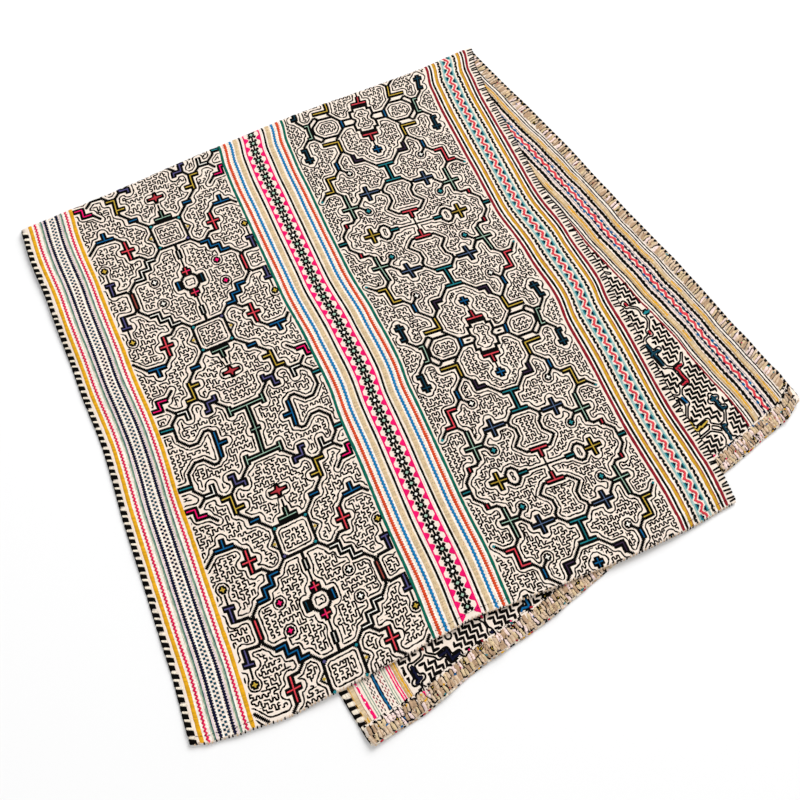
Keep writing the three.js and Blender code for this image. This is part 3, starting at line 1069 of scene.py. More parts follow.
def field_stitches(field, material):
    """The field's embroidery, one mesh for the upper layer with the turn and one for the lower layer."""
    limits = FIELDS[field][:2]
    seed = FIELDS[field][6]
    marks, contours, fills, grid = field_lines(field)
    pieces = []
    for name, chosen in (("over", on_upper), ("under", on_lower)):
        work = Needlework(seed, plain=name == "under")
        for kind, thread, points in marks:
            for part in parts_of(points, chosen):
                work_mark(work, kind, thread, part, limits)
        skip = 1 if name == "over" else UNDER_SKIP
        for points in contours:
            points = points + work.rng.normal(0, 0.24, points.shape)
            for part in runs(points[::skip], chosen(points)[::skip], 3):
                widths = INNER_HALF * (1 + work.rng.normal(0, 0.16, len(part)))
                work.line(part, widths, INNER_HEIGHT, "soot")
        for points in fills:
            for part in runs(points[::skip], (chosen(points) & inside(points, *limits))[::skip]):
                widths = FILL_HALF * (1 + work.rng.normal(0, 0.1, len(part)))
                work.line(part, widths, FILL_HEIGHT, "soot", ends=0.7)
        press = 1 if name == "over" else UNDER_PRESS
        pieces.append(work.make(f"{field}_field_stitches_{name}", folded_sheet(), material, press=press))
    return pieces


def stripe_rows(s, start, end, step):
    """Places along a stripe, closer together where the cloth turns over."""
    fold = float(fold_row(np.array(s)))
    rows = [np.arange(start, fold - 8, step), np.arange(fold - 8, fold + 8, 1.3), np.arange(fold + 8, end, step)]
    rows = np.concatenate([part[(part >= start) & (part < end)] for part in rows])
    return np.append(rows, end)


def wobble(rows, seed, size):
    """Slow sideways wandering of a hand-worked row."""
    phases = np.random.default_rng(seed).random(3) * 6.28
    return size * (np.sin(rows / 41 + phases[0]) + 0.6 * np.sin(rows / 17.3 + phases[1])
                   + 0.3 * np.sin(rows / 7.9 + phases[2])) / 1.9


def triangle_wave(phase):
    """From -1 at whole numbers to 1 halfway between them."""
    return 4 * np.abs(phase - np.floor(phase + 0.5)) - 1


# Sideways swing, period, change of width from stitch to stitch and points in a period of the twisted stripes
ROPES = {
    "rope": (0.4, 3.1, 0.38, 2), "wave": (1.3, 4.4, 0.25, 4), "zigzag": (1.15, 4.4, 0.12, 4),
}
# Threads that lie over a brushed stripe, along its left and its right side
BRUSHED_WITH = {"ochre": ("gold", "rust"), "sage": ("cream", "deep_teal")}
# Wandering stripes: sideways swing, period and change of width
RIVER = (1.05, 9.6, 0.55)
CHECK_PERIOD = 5.2
CHECK_SIDE = 1.6


def work_stripe(work, style, thread, middle, half, start, end):
    seed = int(middle * 10)
    rng = np.random.default_rng(seed)
    if style in ("satin", "row"):
        rows = stripe_rows(middle, start, end, 4.2)
        points = np.stack([middle + wobble(rows, seed, 0.5), rows], 1)
        widths = half * (1 + rng.normal(0, 0.06, len(rows)))
        if style == "satin":
            work.line(points, widths, 0.6, thread, profile=FULL, ends=0.9)
        else:
            work.line(points, widths, 0.42, thread, ends=0.9)
    elif style == "brushed":
        rows = stripe_rows(middle, start, end, 4.2)
        points = np.stack([middle + wobble(rows, seed, 0.5), rows], 1)
        work.line(points, half * (1 + rng.normal(0, 0.07, len(rows))), 0.6, thread, profile=FULL, ends=0.9)
        for side, over in zip((-0.62, 0.62), BRUSHED_WITH[thread]):
            strand = points + (side * half, 0)
            widths = half * np.clip(rng.normal(0.2, 0.08, len(rows)), 0.05, 0.34)
            work.line(strand, widths, 0.2, over, base=0.44, ends=0.9)
    elif style in ROPES:
        swing, period, beat, share = ROPES[style]
        rows = stripe_rows(middle, start, end, period / share)
        phase = rows / period
        points = np.stack([middle + swing * triangle_wave(phase) + wobble(rows, seed, 0.45), rows], 1)
        beats = np.where(np.arange(len(rows)) % 2 == 0, beat, -beat)
        widths = half * (1 + beats + rng.normal(0, 0.07, len(rows)))
        work.line(points, np.abs(widths), 0.6, thread, profile=ROUND, ends=0.9)
    elif style == "river":
        swing, period, beat = RIVER
        rows = stripe_rows(middle, start, end, 1.9)
        phase = rows / period + 0.12 * np.sin(rows / 31)
        points = np.stack([middle + swing * np.sin(phase * math.tau) + wobble(rows, seed, 0.4), rows], 1)
        widths = half * (1 + beat * np.sin(phase * math.tau * 2 + 0.9) + rng.normal(0, 0.07, len(rows)))
        work.line(points, np.abs(widths), 0.6, thread, profile=FULL, ends=0.9)
    elif style == "check":
        work_checks(work, middle, start, end)
    elif style == "dots":
        for row in np.arange(start + 2, end, 3.4):
            place = np.array([middle, row]) + rng.normal(0, (0.9, 0.8))
            points = place + np.array([[0, -0.8], [0.2, 0.8]])
            work.line(points, 0.6, 0.22, thread, base=0.5)
    else:
        MOTIFS[style](work, thread, middle, half, start, end, rng)


def work_checks(work, middle, start, end):
    """Two columns of small squares, one in the gaps of the other."""
    for number, row in enumerate(np.arange(start + 1, end - 3, CHECK_PERIOD / 2)):
        side = CHECK_SIDE if number % 2 else -CHECK_SIDE
        place = middle + side + wobble(np.array(row), 7, 0.45)
        points = np.array([[place, row], [place, row + CHECK_PERIOD / 2 + 0.2]])
        thread = "deep_teal" if math.sin(row / 47) + math.sin(row / 19) > -0.4 else "navy"
        work.line(points, 1.95, 0.5, thread, profile=ROUND, ends=0.9)


def stepped_triangles(work, thread, middle, half, start, end, rng):
    """A straight row with stepped triangles standing on one side of it."""
    turn = 1 if half > 0 else -1
    rows = stripe_rows(middle, start, end, 4.2)
    work.line(np.stack([middle + wobble(rows, 3, 0.2), rows], 1), abs(half), 0.5, thread, profile=ROUND)
    reach = np.array([0.0, 1.4, 1.5, 3.0, 3.1, 4.6, 4.7, 6.1]) * turn
    widths = np.array([5.6, 5.2, 4.5, 4.0, 3.3, 2.9, 2.0, 1.1])
    for row in np.arange(start + 6.5, end - 3, MOTIF_PITCH):
        points = np.stack([middle + reach, np.full(8, row)], 1)
        work.line(points, widths + rng.normal(0, 0.14, 8), 0.52, thread, profile=FULL, ends=1)


def flower_chain(work, thread, middle, half, start, end, rng):
    """Small diamond rings with knobs at their slanting sides, in a row joined by short bars."""
    ring = resampled(np.array([[4.0, 0], [0, 4.0], [-4.0, 0], [0, -4.0], [4.0, 0]]), 1.4)
    link = np.array([[0, 3.6], [0, 5.4], [0, MOTIF_PITCH - 5.4], [0, MOTIF_PITCH - 3.6]])
    for row in np.arange(start + 6.5 + MOTIF_PITCH / 2, end - 2, MOTIF_PITCH):
        centre = np.array([middle, row])
        core = "mint" if rng.random() < 0.75 else "white"
        diamond(work, centre, 2.2, 0.42, core, -0.02)
        work.line(centre + ring, half * (1 + rng.normal(0, 0.1, len(ring))), 0.66, thread, profile=ROUND, ends=1)
        for side in (1, -1):
            for end_side in (1, -1):
                knob = centre + np.array([[1.9, 1.9], [3.2, 3.3], [3.5, 3.6], [5.4, 5.3]]) * (side, end_side)
                work.line(knob, [1.4, 1.6, 2.4, 2.1], 0.6, thread, profile=ROUND, ends=1)
        if row + MOTIF_PITCH < end + 6:
            bar = centre + link
            bar[:, 1] = np.minimum(bar[:, 1], end)
            work.line(bar, [1.0, 1.5, 1.5, 1.0], 0.6, thread, profile=ROUND, ends=1)


def dark_peaks(work, thread, middle, half, start, end, rng):
    """Small stepped triangles with a dark tip, on one side of a pale stripe."""
    turn = 1 if half > 0 else -1
    reach = np.array([0.0, 1.8, 1.9, 3.6, 3.7, 5.3]) * turn
    widths = np.array([5.0, 4.7, 3.7, 3.3, 2.2, 0.9])
    for row in np.arange(start + 3 + (0 if turn > 0 else MOTIF_PITCH / 2), end - 3, MOTIF_PITCH):
        points = np.stack([middle + reach, np.full(6, row)], 1)
        work.line(points, widths + rng.normal(0, 0.14, 6), 0.7, thread, profile=FULL, ends=1)
        points = np.stack([middle + reach[2:] + 0.2 * turn, np.full(4, row + 0.5)], 1)
        work.line(points, widths[2:] * 0.7, 0.34, "navy", base=0.55, profile=ROUND, ends=1)


def stepped_zigzag(work, thread, middle, half, start, end, rng):
    rows = np.arange(start, end, MOTIF_PITCH / 8)
    phase = (rows - start - 3) / MOTIF_PITCH
    swing = -3.2 * (triangle_wave(phase) + 0.14 * np.sin(phase * math.tau * 4))
    points = np.stack([middle + swing, rows], 1)
    work.line(points, stitched_widths(points, half, rng, 0.1), 0.75, thread, profile=FULL)


MOTIFS = {
    "triangles": stepped_triangles, "flowers": flower_chain, "peaks": dark_peaks, "steps": stepped_zigzag,
}


def band_stitches(band, material):
    """The band's stripes, one mesh for the upper layer with the turn and one for the lower layer."""
    pieces = []
    for name in ("over", "under"):
        work = Needlework(5, plain=name == "under")
        for style, thread, middle, half in BANDS[band]:
            turn_row = float(fold_row(np.array(middle))) + BEND_HALF + 1.5
            limits = (BAND_START, turn_row) if name == "over" else (turn_row, CLOTH_LENGTH - BAND_START)
            work_stripe(work, style, thread, middle, half, *limits)
        press = 1 if name == "over" else UNDER_PRESS
        pieces.append(work.make(f"{band}_band_stitches_{name}", folded_sheet(), material, press=press))
    return pieces


def shown_below(points):
    """Whether places of the lower layer come out from under the upper one, or nearly."""
    sheet = folded_sheet()
    plan = sheet.place(points[:, 0], points[:, 1], np.zeros(len(points)), True)[:, :2] + sheet.middle[:2]
    return (points[:, 1] > fold_row(points[:, 0]) + 12) & (past_upper(plan) > -SHOWN_MARGIN)


def back_rows(work, field, limits):
    """Zigzag rows on the back of a field, broken by double lines along its thick shapes."""
    marks, contours, fills, (xs, ys, free) = field_lines(field)
    left, right = limits
    turn = math.radians(BACK_ROW_TURN)
    ahead = np.array([math.sin(turn), math.cos(turn)])
    aside = np.array([math.cos(turn), -math.sin(turn)])
    start = np.array([left, FOLD_AT_LEFT])
    reach = (CLOTH_LENGTH - FOLD_AT_LEFT) / ahead[1]
    steps = np.arange(0, reach, BACK_ZIG / 3)
    zig = BACK_SWING * triangle_wave(steps / (2 * BACK_ZIG))
    for row in np.arange(-reach * ahead[0], (right - left) / aside[0], BACK_ROW_GAP):
        points = start + steps[:, None] * ahead + (row + zig)[:, None] * aside
        i = np.clip(((points[:, 0] - xs[0]) / CHART_STEP).round().astype(int), 0, len(xs) - 1)
        j = np.clip(((points[:, 1] - ys[0]) / CHART_STEP).round().astype(int), 0, len(ys) - 1)
        clear = (free[j, i] > BACK_CLEAR) & (points[:, 0] > left) & (points[:, 0] < right)
        clear &= (points[:, 1] < CLOTH_LENGTH - HEM_DEPTH + 2) & (points[:, 1] > FOLD_AT_LEFT)
        for part in runs(points, clear & shown_below(points), 4):
            work.line(part, BACK_HALF * (1 + work.rng.normal(0, 0.1, len(part))), 0.5, "black", ends=0.7)
    lower = free[ys > FOLD_AT_LEFT]
    for points, closed in level_lines(xs, ys[ys > FOLD_AT_LEFT], lower, BACK_OUTLINE_AT):
        points = thinned(eased(points, closed), 2.2)
        shown = shown_below(points) & (points[:, 1] < CLOTH_LENGTH - HEM_DEPTH + 1)
        for part in runs(points, shown, 4):
            work.line(part, 1.45, 0.5, "black", ends=0.7)
    for kind, thread, points in marks:
        if kind != "core":
            continue
        points = resampled(points, 2.2)
        points = points + work.rng.normal(0, 0.5, points.shape)
        shown = shown_below(points) & inside(points, *limits) & (points[:, 1] < CLOTH_LENGTH - HEM_DEPTH)
        for part in runs(points, shown):
            work.line(part, 3.4, 0.5, "black", ends=0.9)
            work.line(part + 0.7, 1.1, 0.35, BACK_COLOURS.get(thread, thread), base=0.4, ends=0.9)


class BackStripe:
    """A band's stripe as it shows on the back: rows along it, with a slow waver."""

    def __init__(self, work, middle, start, end):
        self.work = work
        self.middle = middle
        self.rng = np.random.default_rng(int(middle * 7))
        self.rows = np.arange(start, end, 2.4)
        self.waver = wobble(self.rows, BACK_WAVER_SEED, 2.2) + wobble(self.rows, int(middle), 0.5)

    def run(self, offset, half, thread, mask=True, height=0.5):
        points = np.stack([self.middle + offset + self.waver, self.rows], 1)
        points[:, 0] += self.rng.normal(0, 0.12, len(self.rows))
        for part in runs(points, shown_below(points) & mask):
            self.work.line(part, half * (1 + self.rng.normal(0, 0.12, len(part))), height, thread, ends=0.8)

    def bits(self, offset, half, length, pitch, threads, start=0.0, base=0.0):
        """Single short stitches, pitch apart."""
        for row in np.arange(self.rows[0] + start, self.rows[-1] - 4, pitch):
            place = self.middle + offset + np.interp(row, self.rows, self.waver) + self.rng.normal(0, 0.25)
            points = np.array([[place, row], [place + self.rng.normal(0, 0.35), row + length]])
            if shown_below(points).all():
                thread = threads[int(self.rng.integers(0, len(threads)))]
                self.work.line(points, half, 0.5, thread, base=base, profile=ROUND, ends=0.8)


def back_stripe(work, style, thread, middle, half, start, end):
    stripe = BackStripe(work, middle, start, end)
    rows = stripe.rows
    patches = np.sin(rows / 23 + middle) + np.sin(rows / 9.1 + 2 * middle) > -0.5
    if style == "pair":
        for side in (-1.4, 1.4):
            stripe.run(side, half, thread)
        stripe.run(0, 0.8, "cream")
    elif style == "broken":
        stripe.run(0, half, "tan")
        stripe.run(half * 0.12, half * 0.62, "gold" if thread == "ochre" else thread, patches, 0.65)
        stripe.run(-half * 0.55, half * 0.16, thread, height=0.62)
        # Painted shade: dark runs along both edges of the stripe.
        stripe.run(half * 0.85, half * 0.14, "fawn", height=0.62)
        stripe.run(-half * 0.9, half * 0.12, "fawn", height=0.62)
    elif style == "solid":
        stripe.run(0, half, thread)
    elif style == "edged":
        stripe.run(0, half * 1.15, "navy")
        stripe.run(0, half * 0.72, thread, height=0.7)
        stripe.run(0, half * 0.2, "teal", height=0.85)
    elif style == "dashes":
        for lead, side in ((0.0, -half), (3.1, -half * 0.1), (1.2, half * 0.9)):
            stripe.bits(side, 0.8, 3.0, 5.3, (thread, "black"), lead)
    elif style == "knots":
        stripe.run(0, half, thread)
        stripe.run(half * 0.9, half * 0.6, thread, patches)
        stripe.bits(0, 0.8, 1.6, 9.7, ("white",), base=0.4)
    elif style == "wavy":
        stripe.run(0, half, thread, height=0.65)
        stripe.bits(half * 0.7, half * 0.55, 3.0, 6.3, (thread,))
        stripe.bits(-half * 0.7, half * 0.55, 3.0, 7.1, (thread,), 3.1)
    else:
        swing = triangle_wave(rows / MOTIF_PITCH)
        for side, lead in ((-4.9, 0.0), (4.9, MOTIF_PITCH / 4)):
            stripe.run(side + 0.9 * swing, 1.1, "navy")
            stripe.bits(side, 2.3, 4.2, MOTIF_PITCH / 2, ("navy", "deep_teal", "blue", "navy"), lead, 0.2)
        for side in (-8.0, 8.0):
            stripe.run(side, 0.4, "slate")
        stripe.run(2.0 * swing, half, thread, height=0.75)


def gathers(work, start, along, across, depth, pitch, count):
    """Close-set gathers of an edge in mixed tones, with painted shade as dark lines in the hollows between some of
    them.
    """
    rng = work.rng
    start, along, across = np.array(start, float), np.array(along, float), np.array(across, float)
    share = np.array([0, 0.25, 0.5, 0.75, 1])
    for number in range(count):
        lean = rng.normal(0, 1.1) * share + rng.normal(0, 0.3, 5)
        reach = depth * rng.uniform(0.84, 1.0) * share
        half = pitch * rng.uniform(0.46, 0.58) * np.array([0.8, 1, 1.05, 1, 0.75])
        thread = GATHER_TONES_AND_SHADE[int(rng.integers(0, len(GATHER_TONES_AND_SHADE)))]
        hollow_shade_pick = rng.random()
        points = start + along * (number * pitch + lean)[:, None] + across * reach[:, None]
        if not shown_below(points).all():
            continue
        work.line(points, half, 1.1, thread, profile=FULL, ends=0.85)
        # Painted shade: a dark line of thread in the hollow between two gathers.
        if hollow_shade_pick < 0.9:
            hollow_shade_line = points + along * pitch / 2
            work.line(hollow_shade_line, 0.4 + hollow_shade_pick, 0.9, "soot" if hollow_shade_pick < 0.6 else "fawn", base=0.3, ends=0.6)


def snatches(work, low, high, pitch, share_dark):
    """Bits of the pattern caught in a turned-up edge, between two corners in (s, t)."""
    rng = work.rng
    (s0, t0), (s1, t1) = low, high
    for number in range(int((s1 - s0) * (t1 - t0) / pitch ** 2)):
        middle = np.array([rng.uniform(s0, s1), rng.uniform(t0, t1)])
        turn = rng.random() * math.tau
        ahead = np.array([math.cos(turn), math.sin(turn)])
        aside = np.array([-ahead[1], ahead[0]])
        bend = rng.normal(0, 1.1)
        reach = rng.uniform(1.6, 3.4)
        kind = rng.random()
        colour = HEM_COLOURS[int(rng.integers(0, len(HEM_COLOURS)))]
        points = middle + ahead * (np.array([-1, -0.4, 0.4, 1]) * reach)[:, None]
        points = points + aside * (np.array([-0.6, 1, 1, -0.6]) * bend)[:, None]
        points = np.clip(points, (s0, t0), (s1, t1))
        if not shown_below(points).all():
            continue
        if kind < 0.04:
            work.line(points, 2.3, 0.9, "black", base=0.3, profile=ROUND, ends=0.9)
            work.line(points[1:3], 0.9, 0.3, "yellow", base=1.15, profile=ROUND)
        elif kind < share_dark:
            work.line(points, rng.uniform(0.7, 1.15), 0.8, "black", base=0.3)
        else:
            work.line(points[:3], 1.2, 0.8, colour, base=0.35, profile=ROUND, ends=0.7)


def back_stitches(material):
    """The back of the lower layer where it comes out from under the upper one."""
    work = Needlework(31)
    for style, thread, middle, half in BACK_STRIPES:
        back_stripe(work, style, thread, middle, half, FOLD_AT_LEFT + 8, CLOTH_LENGTH - HEM_DEPTH + 1)
    margin = (CLOTH_WIDTH - BACK_MARGIN, CLOTH_WIDTH - 2.5)
    first = FOLD_AT_RIGHT + 2 * BEND_HALF + 6
    count = int((CLOTH_LENGTH - HEM_DEPTH - first) / MARGIN_PITCH)
    gathers(work, (margin[1], first), (0, 1), (-1, 0), BACK_MARGIN, MARGIN_PITCH, count)
    snatches(work, (margin[0], first), (margin[1], CLOTH_LENGTH - HEM_DEPTH), 8.0, 0.75)
    stripes = work.make("back_band_stitches", folded_sheet(), material, wrong=True)
    work = Needlework(37)
    for field in FIELDS:
        left, right = FIELDS[field][:2]
        back_rows(work, field, (left - 1.5, right + 2.5))
    fields = work.make("back_field_stitches", folded_sheet(), material, wrong=True)
    return [stripes, fields]


def hem_bits(material):
    """The turned-up hem: its gathers, snatches of the pattern on it, and the stitches that hold it."""
    work = Needlework(41)
    low, high = CLOTH_LENGTH - HEM_DEPTH + 2, CLOTH_LENGTH - 0.8
    count = int((CLOTH_WIDTH - 6) / GATHER_PITCH)
    depth = (high - low) * 0.56
    for lead, edge in ((0, high), (GATHER_PITCH / 2, low + depth)):
        gathers(work, (3 + lead, edge), (1, 0), (0, -1), depth, GATHER_PITCH, count)
    snatches(work, (3, low - 2.5), (CLOTH_WIDTH - 3, high), 4.4, 0.86)
    for s in np.arange(3, CLOTH_WIDTH - 3, 5.2):
        points = np.array([[s, low - 1.2], [s + 3.4, low - 1.8]]) + work.rng.normal(0, 0.4, (2, 2))
        work.line(points, 0.75, 0.4, "black", ends=0.8)
    return work.make("turned_hem_stitches", folded_sheet(), material, wrong=True)


def round_edge(work, points, outward, radius, thread):
    """A cord along an edge of the cloth: points are (s, t), outward is the way out of the cloth."""
    angles = np.linspace(0, math.tau, 8)
    grid = points[:, None] + np.array(outward) * (radius * np.cos(angles))[None, :, None]
    heights = -THICKNESS * 0.4 + radius * np.sin(angles)
    work.add_strip(grid, np.broadcast_to(heights, grid.shape[:2]), ROW[thread])


def wrapped_stitch(work, place, outward, inside_reach, halves, thread, lean=0.0, back_reach=None, out=1.5):
    """A stitch from the right side, round an edge, to the wrong side.
    place is (s, t) on the edge; halves are its half widths at the edge and at its inner end."""
    outward = np.array(outward, float)
    along = np.array([-outward[1], outward[0]])
    back_reach = inside_reach if back_reach is None else back_reach
    wide, narrow = halves
    top, bottom = 0.25, -THICKNESS + THREAD_ROOM - 0.25
    # distance out of the edge, height over the right side, half width, rise outwards and upwards
    rows = (
        (-inside_reach, top - 0.15, narrow, 0, 0.4), (-inside_reach * 0.55, top + 0.1, (wide + narrow) / 2, 0, 0.4),
        (0.2, top, wide, 0.1, 0.4), (out * 0.8, top - 0.35, wide, 0.4, 0.2), (out, -THICKNESS * 0.4, wide, 0.45, 0),
        (out * 0.8, bottom + 0.3, wide, 0.4, -0.2), (0.2, bottom, wide, 0.1, -0.35),
        (-back_reach, bottom + 0.1, narrow, 0, -0.3),
    )
    profile = np.array(ROUND)
    grid = np.empty((len(rows), len(profile), 2))
    heights = np.empty((len(rows), len(profile)))
    for number, (reach, height, half, rise_out, rise_up) in enumerate(rows):
        slant = along * lean * max(-reach, 0)
        middle = place + outward * reach + slant
        grid[number] = middle + along * (half * profile[:, :1]) + outward * (rise_out * profile[:, 1:])
        heights[number] = height + rise_up * profile[:, 1]
    work.add_strip(grid, heights, ROW[thread])


def edge_stitches(material):
    """Blanket stitches and overcasting along the edges."""
    work = Needlework(53)
    rng = work.rng
    fold_left, fold_right = FOLD_AT_LEFT - BEND_HALF, FOLD_AT_RIGHT - BEND_HALF
    for start, end in ((0.5, fold_left), (fold_left + 2 * BEND_HALF, CLOTH_LENGTH - 1)):
        rows = np.arange(start, end, 3.0)
        side = -0.5 + 0.25 * np.sin(rows / 5)
        round_edge(work, np.stack([side, rows], 1), (-1, 0), 1.15, "black")
    pitch = bpy.context.scene.cloth_settings.edge_pitch / MM
    for row in np.arange(4, fold_left - 2, pitch):
        place = np.array([0, row + rng.normal(0, 0.6)])
        wrapped_stitch(work, place, (-1, 0), 5.2 + rng.normal(0, 0.6), (3.0, 2.7), "black", lean=0.3, out=1.7)
        side = place + (0, pitch / 2)
        wrapped_stitch(work, side, (-1, 0), 5.2 + rng.normal(0, 0.5), (1.4, 1.5), "cream", lean=0.3, out=1.0)
    for row in np.arange(fold_left + 2 * BEND_HALF + 5, CLOTH_LENGTH - 3, BLOCK_PITCH):
        place = np.array([0, row + rng.normal(0, 0.4)])
        wrapped_stitch(work, place, (-1, 0), 4.0, (2.2, 1.8), "black", lean=-0.25, back_reach=7.6)
        side = place + (0, BLOCK_PITCH / 2)
        wrapped_stitch(work, side, (-1, 0), 3.0, (2.3, 2.1), "cream", lean=-0.25, back_reach=8.2, out=1.3)
    for row in np.arange(4, fold_right - 2, pitch * 0.54):
        place = np.array([CLOTH_WIDTH, row + rng.normal(0, 0.6)])
        reach = 8.5 + rng.normal(0, 0.8)
        wrapped_stitch(work, place, (1, 0), reach, (1.3, 1.1), "black", lean=rng.normal(0, 0.12))
    for row in np.arange(fold_right + 2 * BEND_HALF + 4, CLOTH_LENGTH - 3, pitch * 0.8):
        place = np.array([CLOTH_WIDTH, row + rng.normal(0, 0.4)])
        reach = 4.8 + rng.normal(0, 0.8)
        wrapped_stitch(work, place, (1, 0), 3.0, (2.4, 0.9), "black", lean=rng.normal(0, 0.15), back_reach=reach)
        side = place + (0, pitch * 0.4)
        wrapped_stitch(work, side, (1, 0), 3.0, (1.1, 1.0), "sand", back_reach=4.4, out=1.1)
    for s in np.arange(3, CLOTH_WIDTH - 2, NEAR_HEM_PITCH):
        place = np.array([s + rng.normal(0, 0.4), 0])
        thread = "soot" if rng.random() < 0.4 else "sand"
        wrapped_stitch(work, place, (0, -1), 1.8 + rng.normal(0, 0.3), (0.8, 0.6), thread, lean=0.3, out=0.8)
    for low, high in ((6, 68), (284, 384), (618, 690)):
        for s in np.arange(low, high, 4.2):
            points = np.array([[s, 8.4], [s + 2.5, 8.2 + rng.normal(0, 0.2)]])
            work.line(points, 0.4, 0.35, "soot", base=0.5, ends=0.8)
    for s in np.arange(3, CLOTH_WIDTH - 2, FAR_HEM_PITCH):
        place = np.array([s + rng.normal(0, 0.5), CLOTH_LENGTH])
        thread = FAR_HEM_THREADS[int(rng.integers(0, len(FAR_HEM_THREADS)))]
        wide = rng.uniform(1.3, 2.0)
        wrapped_stitch(work, place, (0, 1), 2.6, (wide, 1.2), thread, lean=0.4, back_reach=3.6 + rng.normal(0, 0.6))
    return work.make("edge_stitches", folded_sheet(), material)


def linear(colour):
    """Linear RGBA of an sRGB hex colour."""
    values = [int(colour[index:index + 2], 16) / 255 for index in (0, 2, 4)]
    return [v / 12.92 if v <= 0.04045 else ((v + 0.055) / 1.055) ** 2.4 for v in values] + [1.0]


def node(tree, kind, links=(), settings=(), inputs=()):
    """Adds a node, sets its properties and input values, and links its inputs from other sockets."""
    made = tree.nodes.new(kind)
    for name, value in dict(settings).items():
        setattr(made, name, value)
    for name, value in dict(inputs).items():
        made.inputs[name].default_value = value
    for name, socket in dict(links).items():
        tree.links.new(socket, made.inputs[name])
    return made


def new_material(name):
    material = bpy.data.materials.new(name)
    material.use_nodes = True
    tree = material.node_tree
    return material, tree, tree.nodes["Principled BSDF"]


def map_parts(tree):
    """The two coordinates of a piece's own map."""
    place = node(tree, "ShaderNodeUVMap", settings={"uv_map": "OFBake"})
    parts = node(tree, "ShaderNodeSeparateXYZ", {"Vector": place.outputs[0]})
    return parts.outputs[0], parts.outputs[1]


@functools.lru_cache(maxsize=None)
def plain_weave_cotton():
    """Undyed plain-weave cotton: matt, with a soft fuzz, ribbed by the crossing threads; its colour has painted light
    on the raised threads and painted shade in the hollows between them.
    The weave is drawn at twice its real spacing, because the real one is too fine to show."""
    material, tree, shader = new_material("plain_weave_cotton")
    settings = bpy.context.scene.cloth_settings
    times, plus = {"operation": "MULTIPLY"}, {"operation": "ADD"}
    waves = []
    tones = []
    for value in map_parts(tree):
        along = node(tree, "ShaderNodeMath", {0: value}, times, {1: WEAVE_THREADS})
        whole = node(tree, "ShaderNodeMath", {0: along.outputs[0]}, {"operation": "FLOOR"})
        number = node(tree, "ShaderNodeMath", {0: whole.outputs[0]}, {"operation": "WRAP"}, {1: WEAVE_THREADS, 2: 0})
        noise = node(tree, "ShaderNodeTexWhiteNoise", {"W": number.outputs[0]}, {"noise_dimensions": "1D"})
        turn = node(tree, "ShaderNodeMath", {0: along.outputs[0]}, times, {1: math.tau})
        waves.append(node(tree, "ShaderNodeMath", {0: turn.outputs[0]}, {"operation": "SINE"}))
        tones.append(noise.outputs["Value"])
    weave = node(tree, "ShaderNodeMath", {0: waves[0].outputs[0], 1: waves[1].outputs[0]}, times)
    both = node(tree, "ShaderNodeMath", {0: tones[0], 1: tones[1]}, plus)
    slub = node(tree, "ShaderNodeMath", {0: both.outputs[0]}, times, {1: 0.1})
    # Painted light and shade: the weave lightens the colour on the raised threads and darkens it in the hollows; the
    # slub adds tone that changes from thread to thread.
    weave_light_and_shade = node(
        tree, "ShaderNodeMath", {0: weave.outputs[0]}, {"operation": "MULTIPLY_ADD"}, {1: 0.35, 2: 0.43})
    tone = node(tree, "ShaderNodeMath", {0: slub.outputs[0], 1: weave_light_and_shade.outputs[0]}, plus)
    shade = node(
        tree, "ShaderNodeMix", {"Factor": tone.outputs[0]}, {"data_type": "RGBA", "clamp_factor": True},
        {6: (*settings.ground_hollow_shade, 1), 7: (*settings.ground_lit_cream, 1)})
    tree.links.new(shade.outputs[2], shader.inputs["Base Color"])
    bump = node(
        tree, "ShaderNodeBump", {"Height": weave.outputs[0]}, inputs={"Strength": 0.4, "Distance": 0.0003})
    tree.links.new(bump.outputs[0], shader.inputs["Normal"])
    shader.inputs["Roughness"].default_value = 0.92
    shader.inputs["Specular IOR Level"].default_value = 0.1
    shader.inputs["Sheen Weight"].default_value = 0.08
    shader.inputs["Sheen Roughness"].default_value = 0.5
    return material


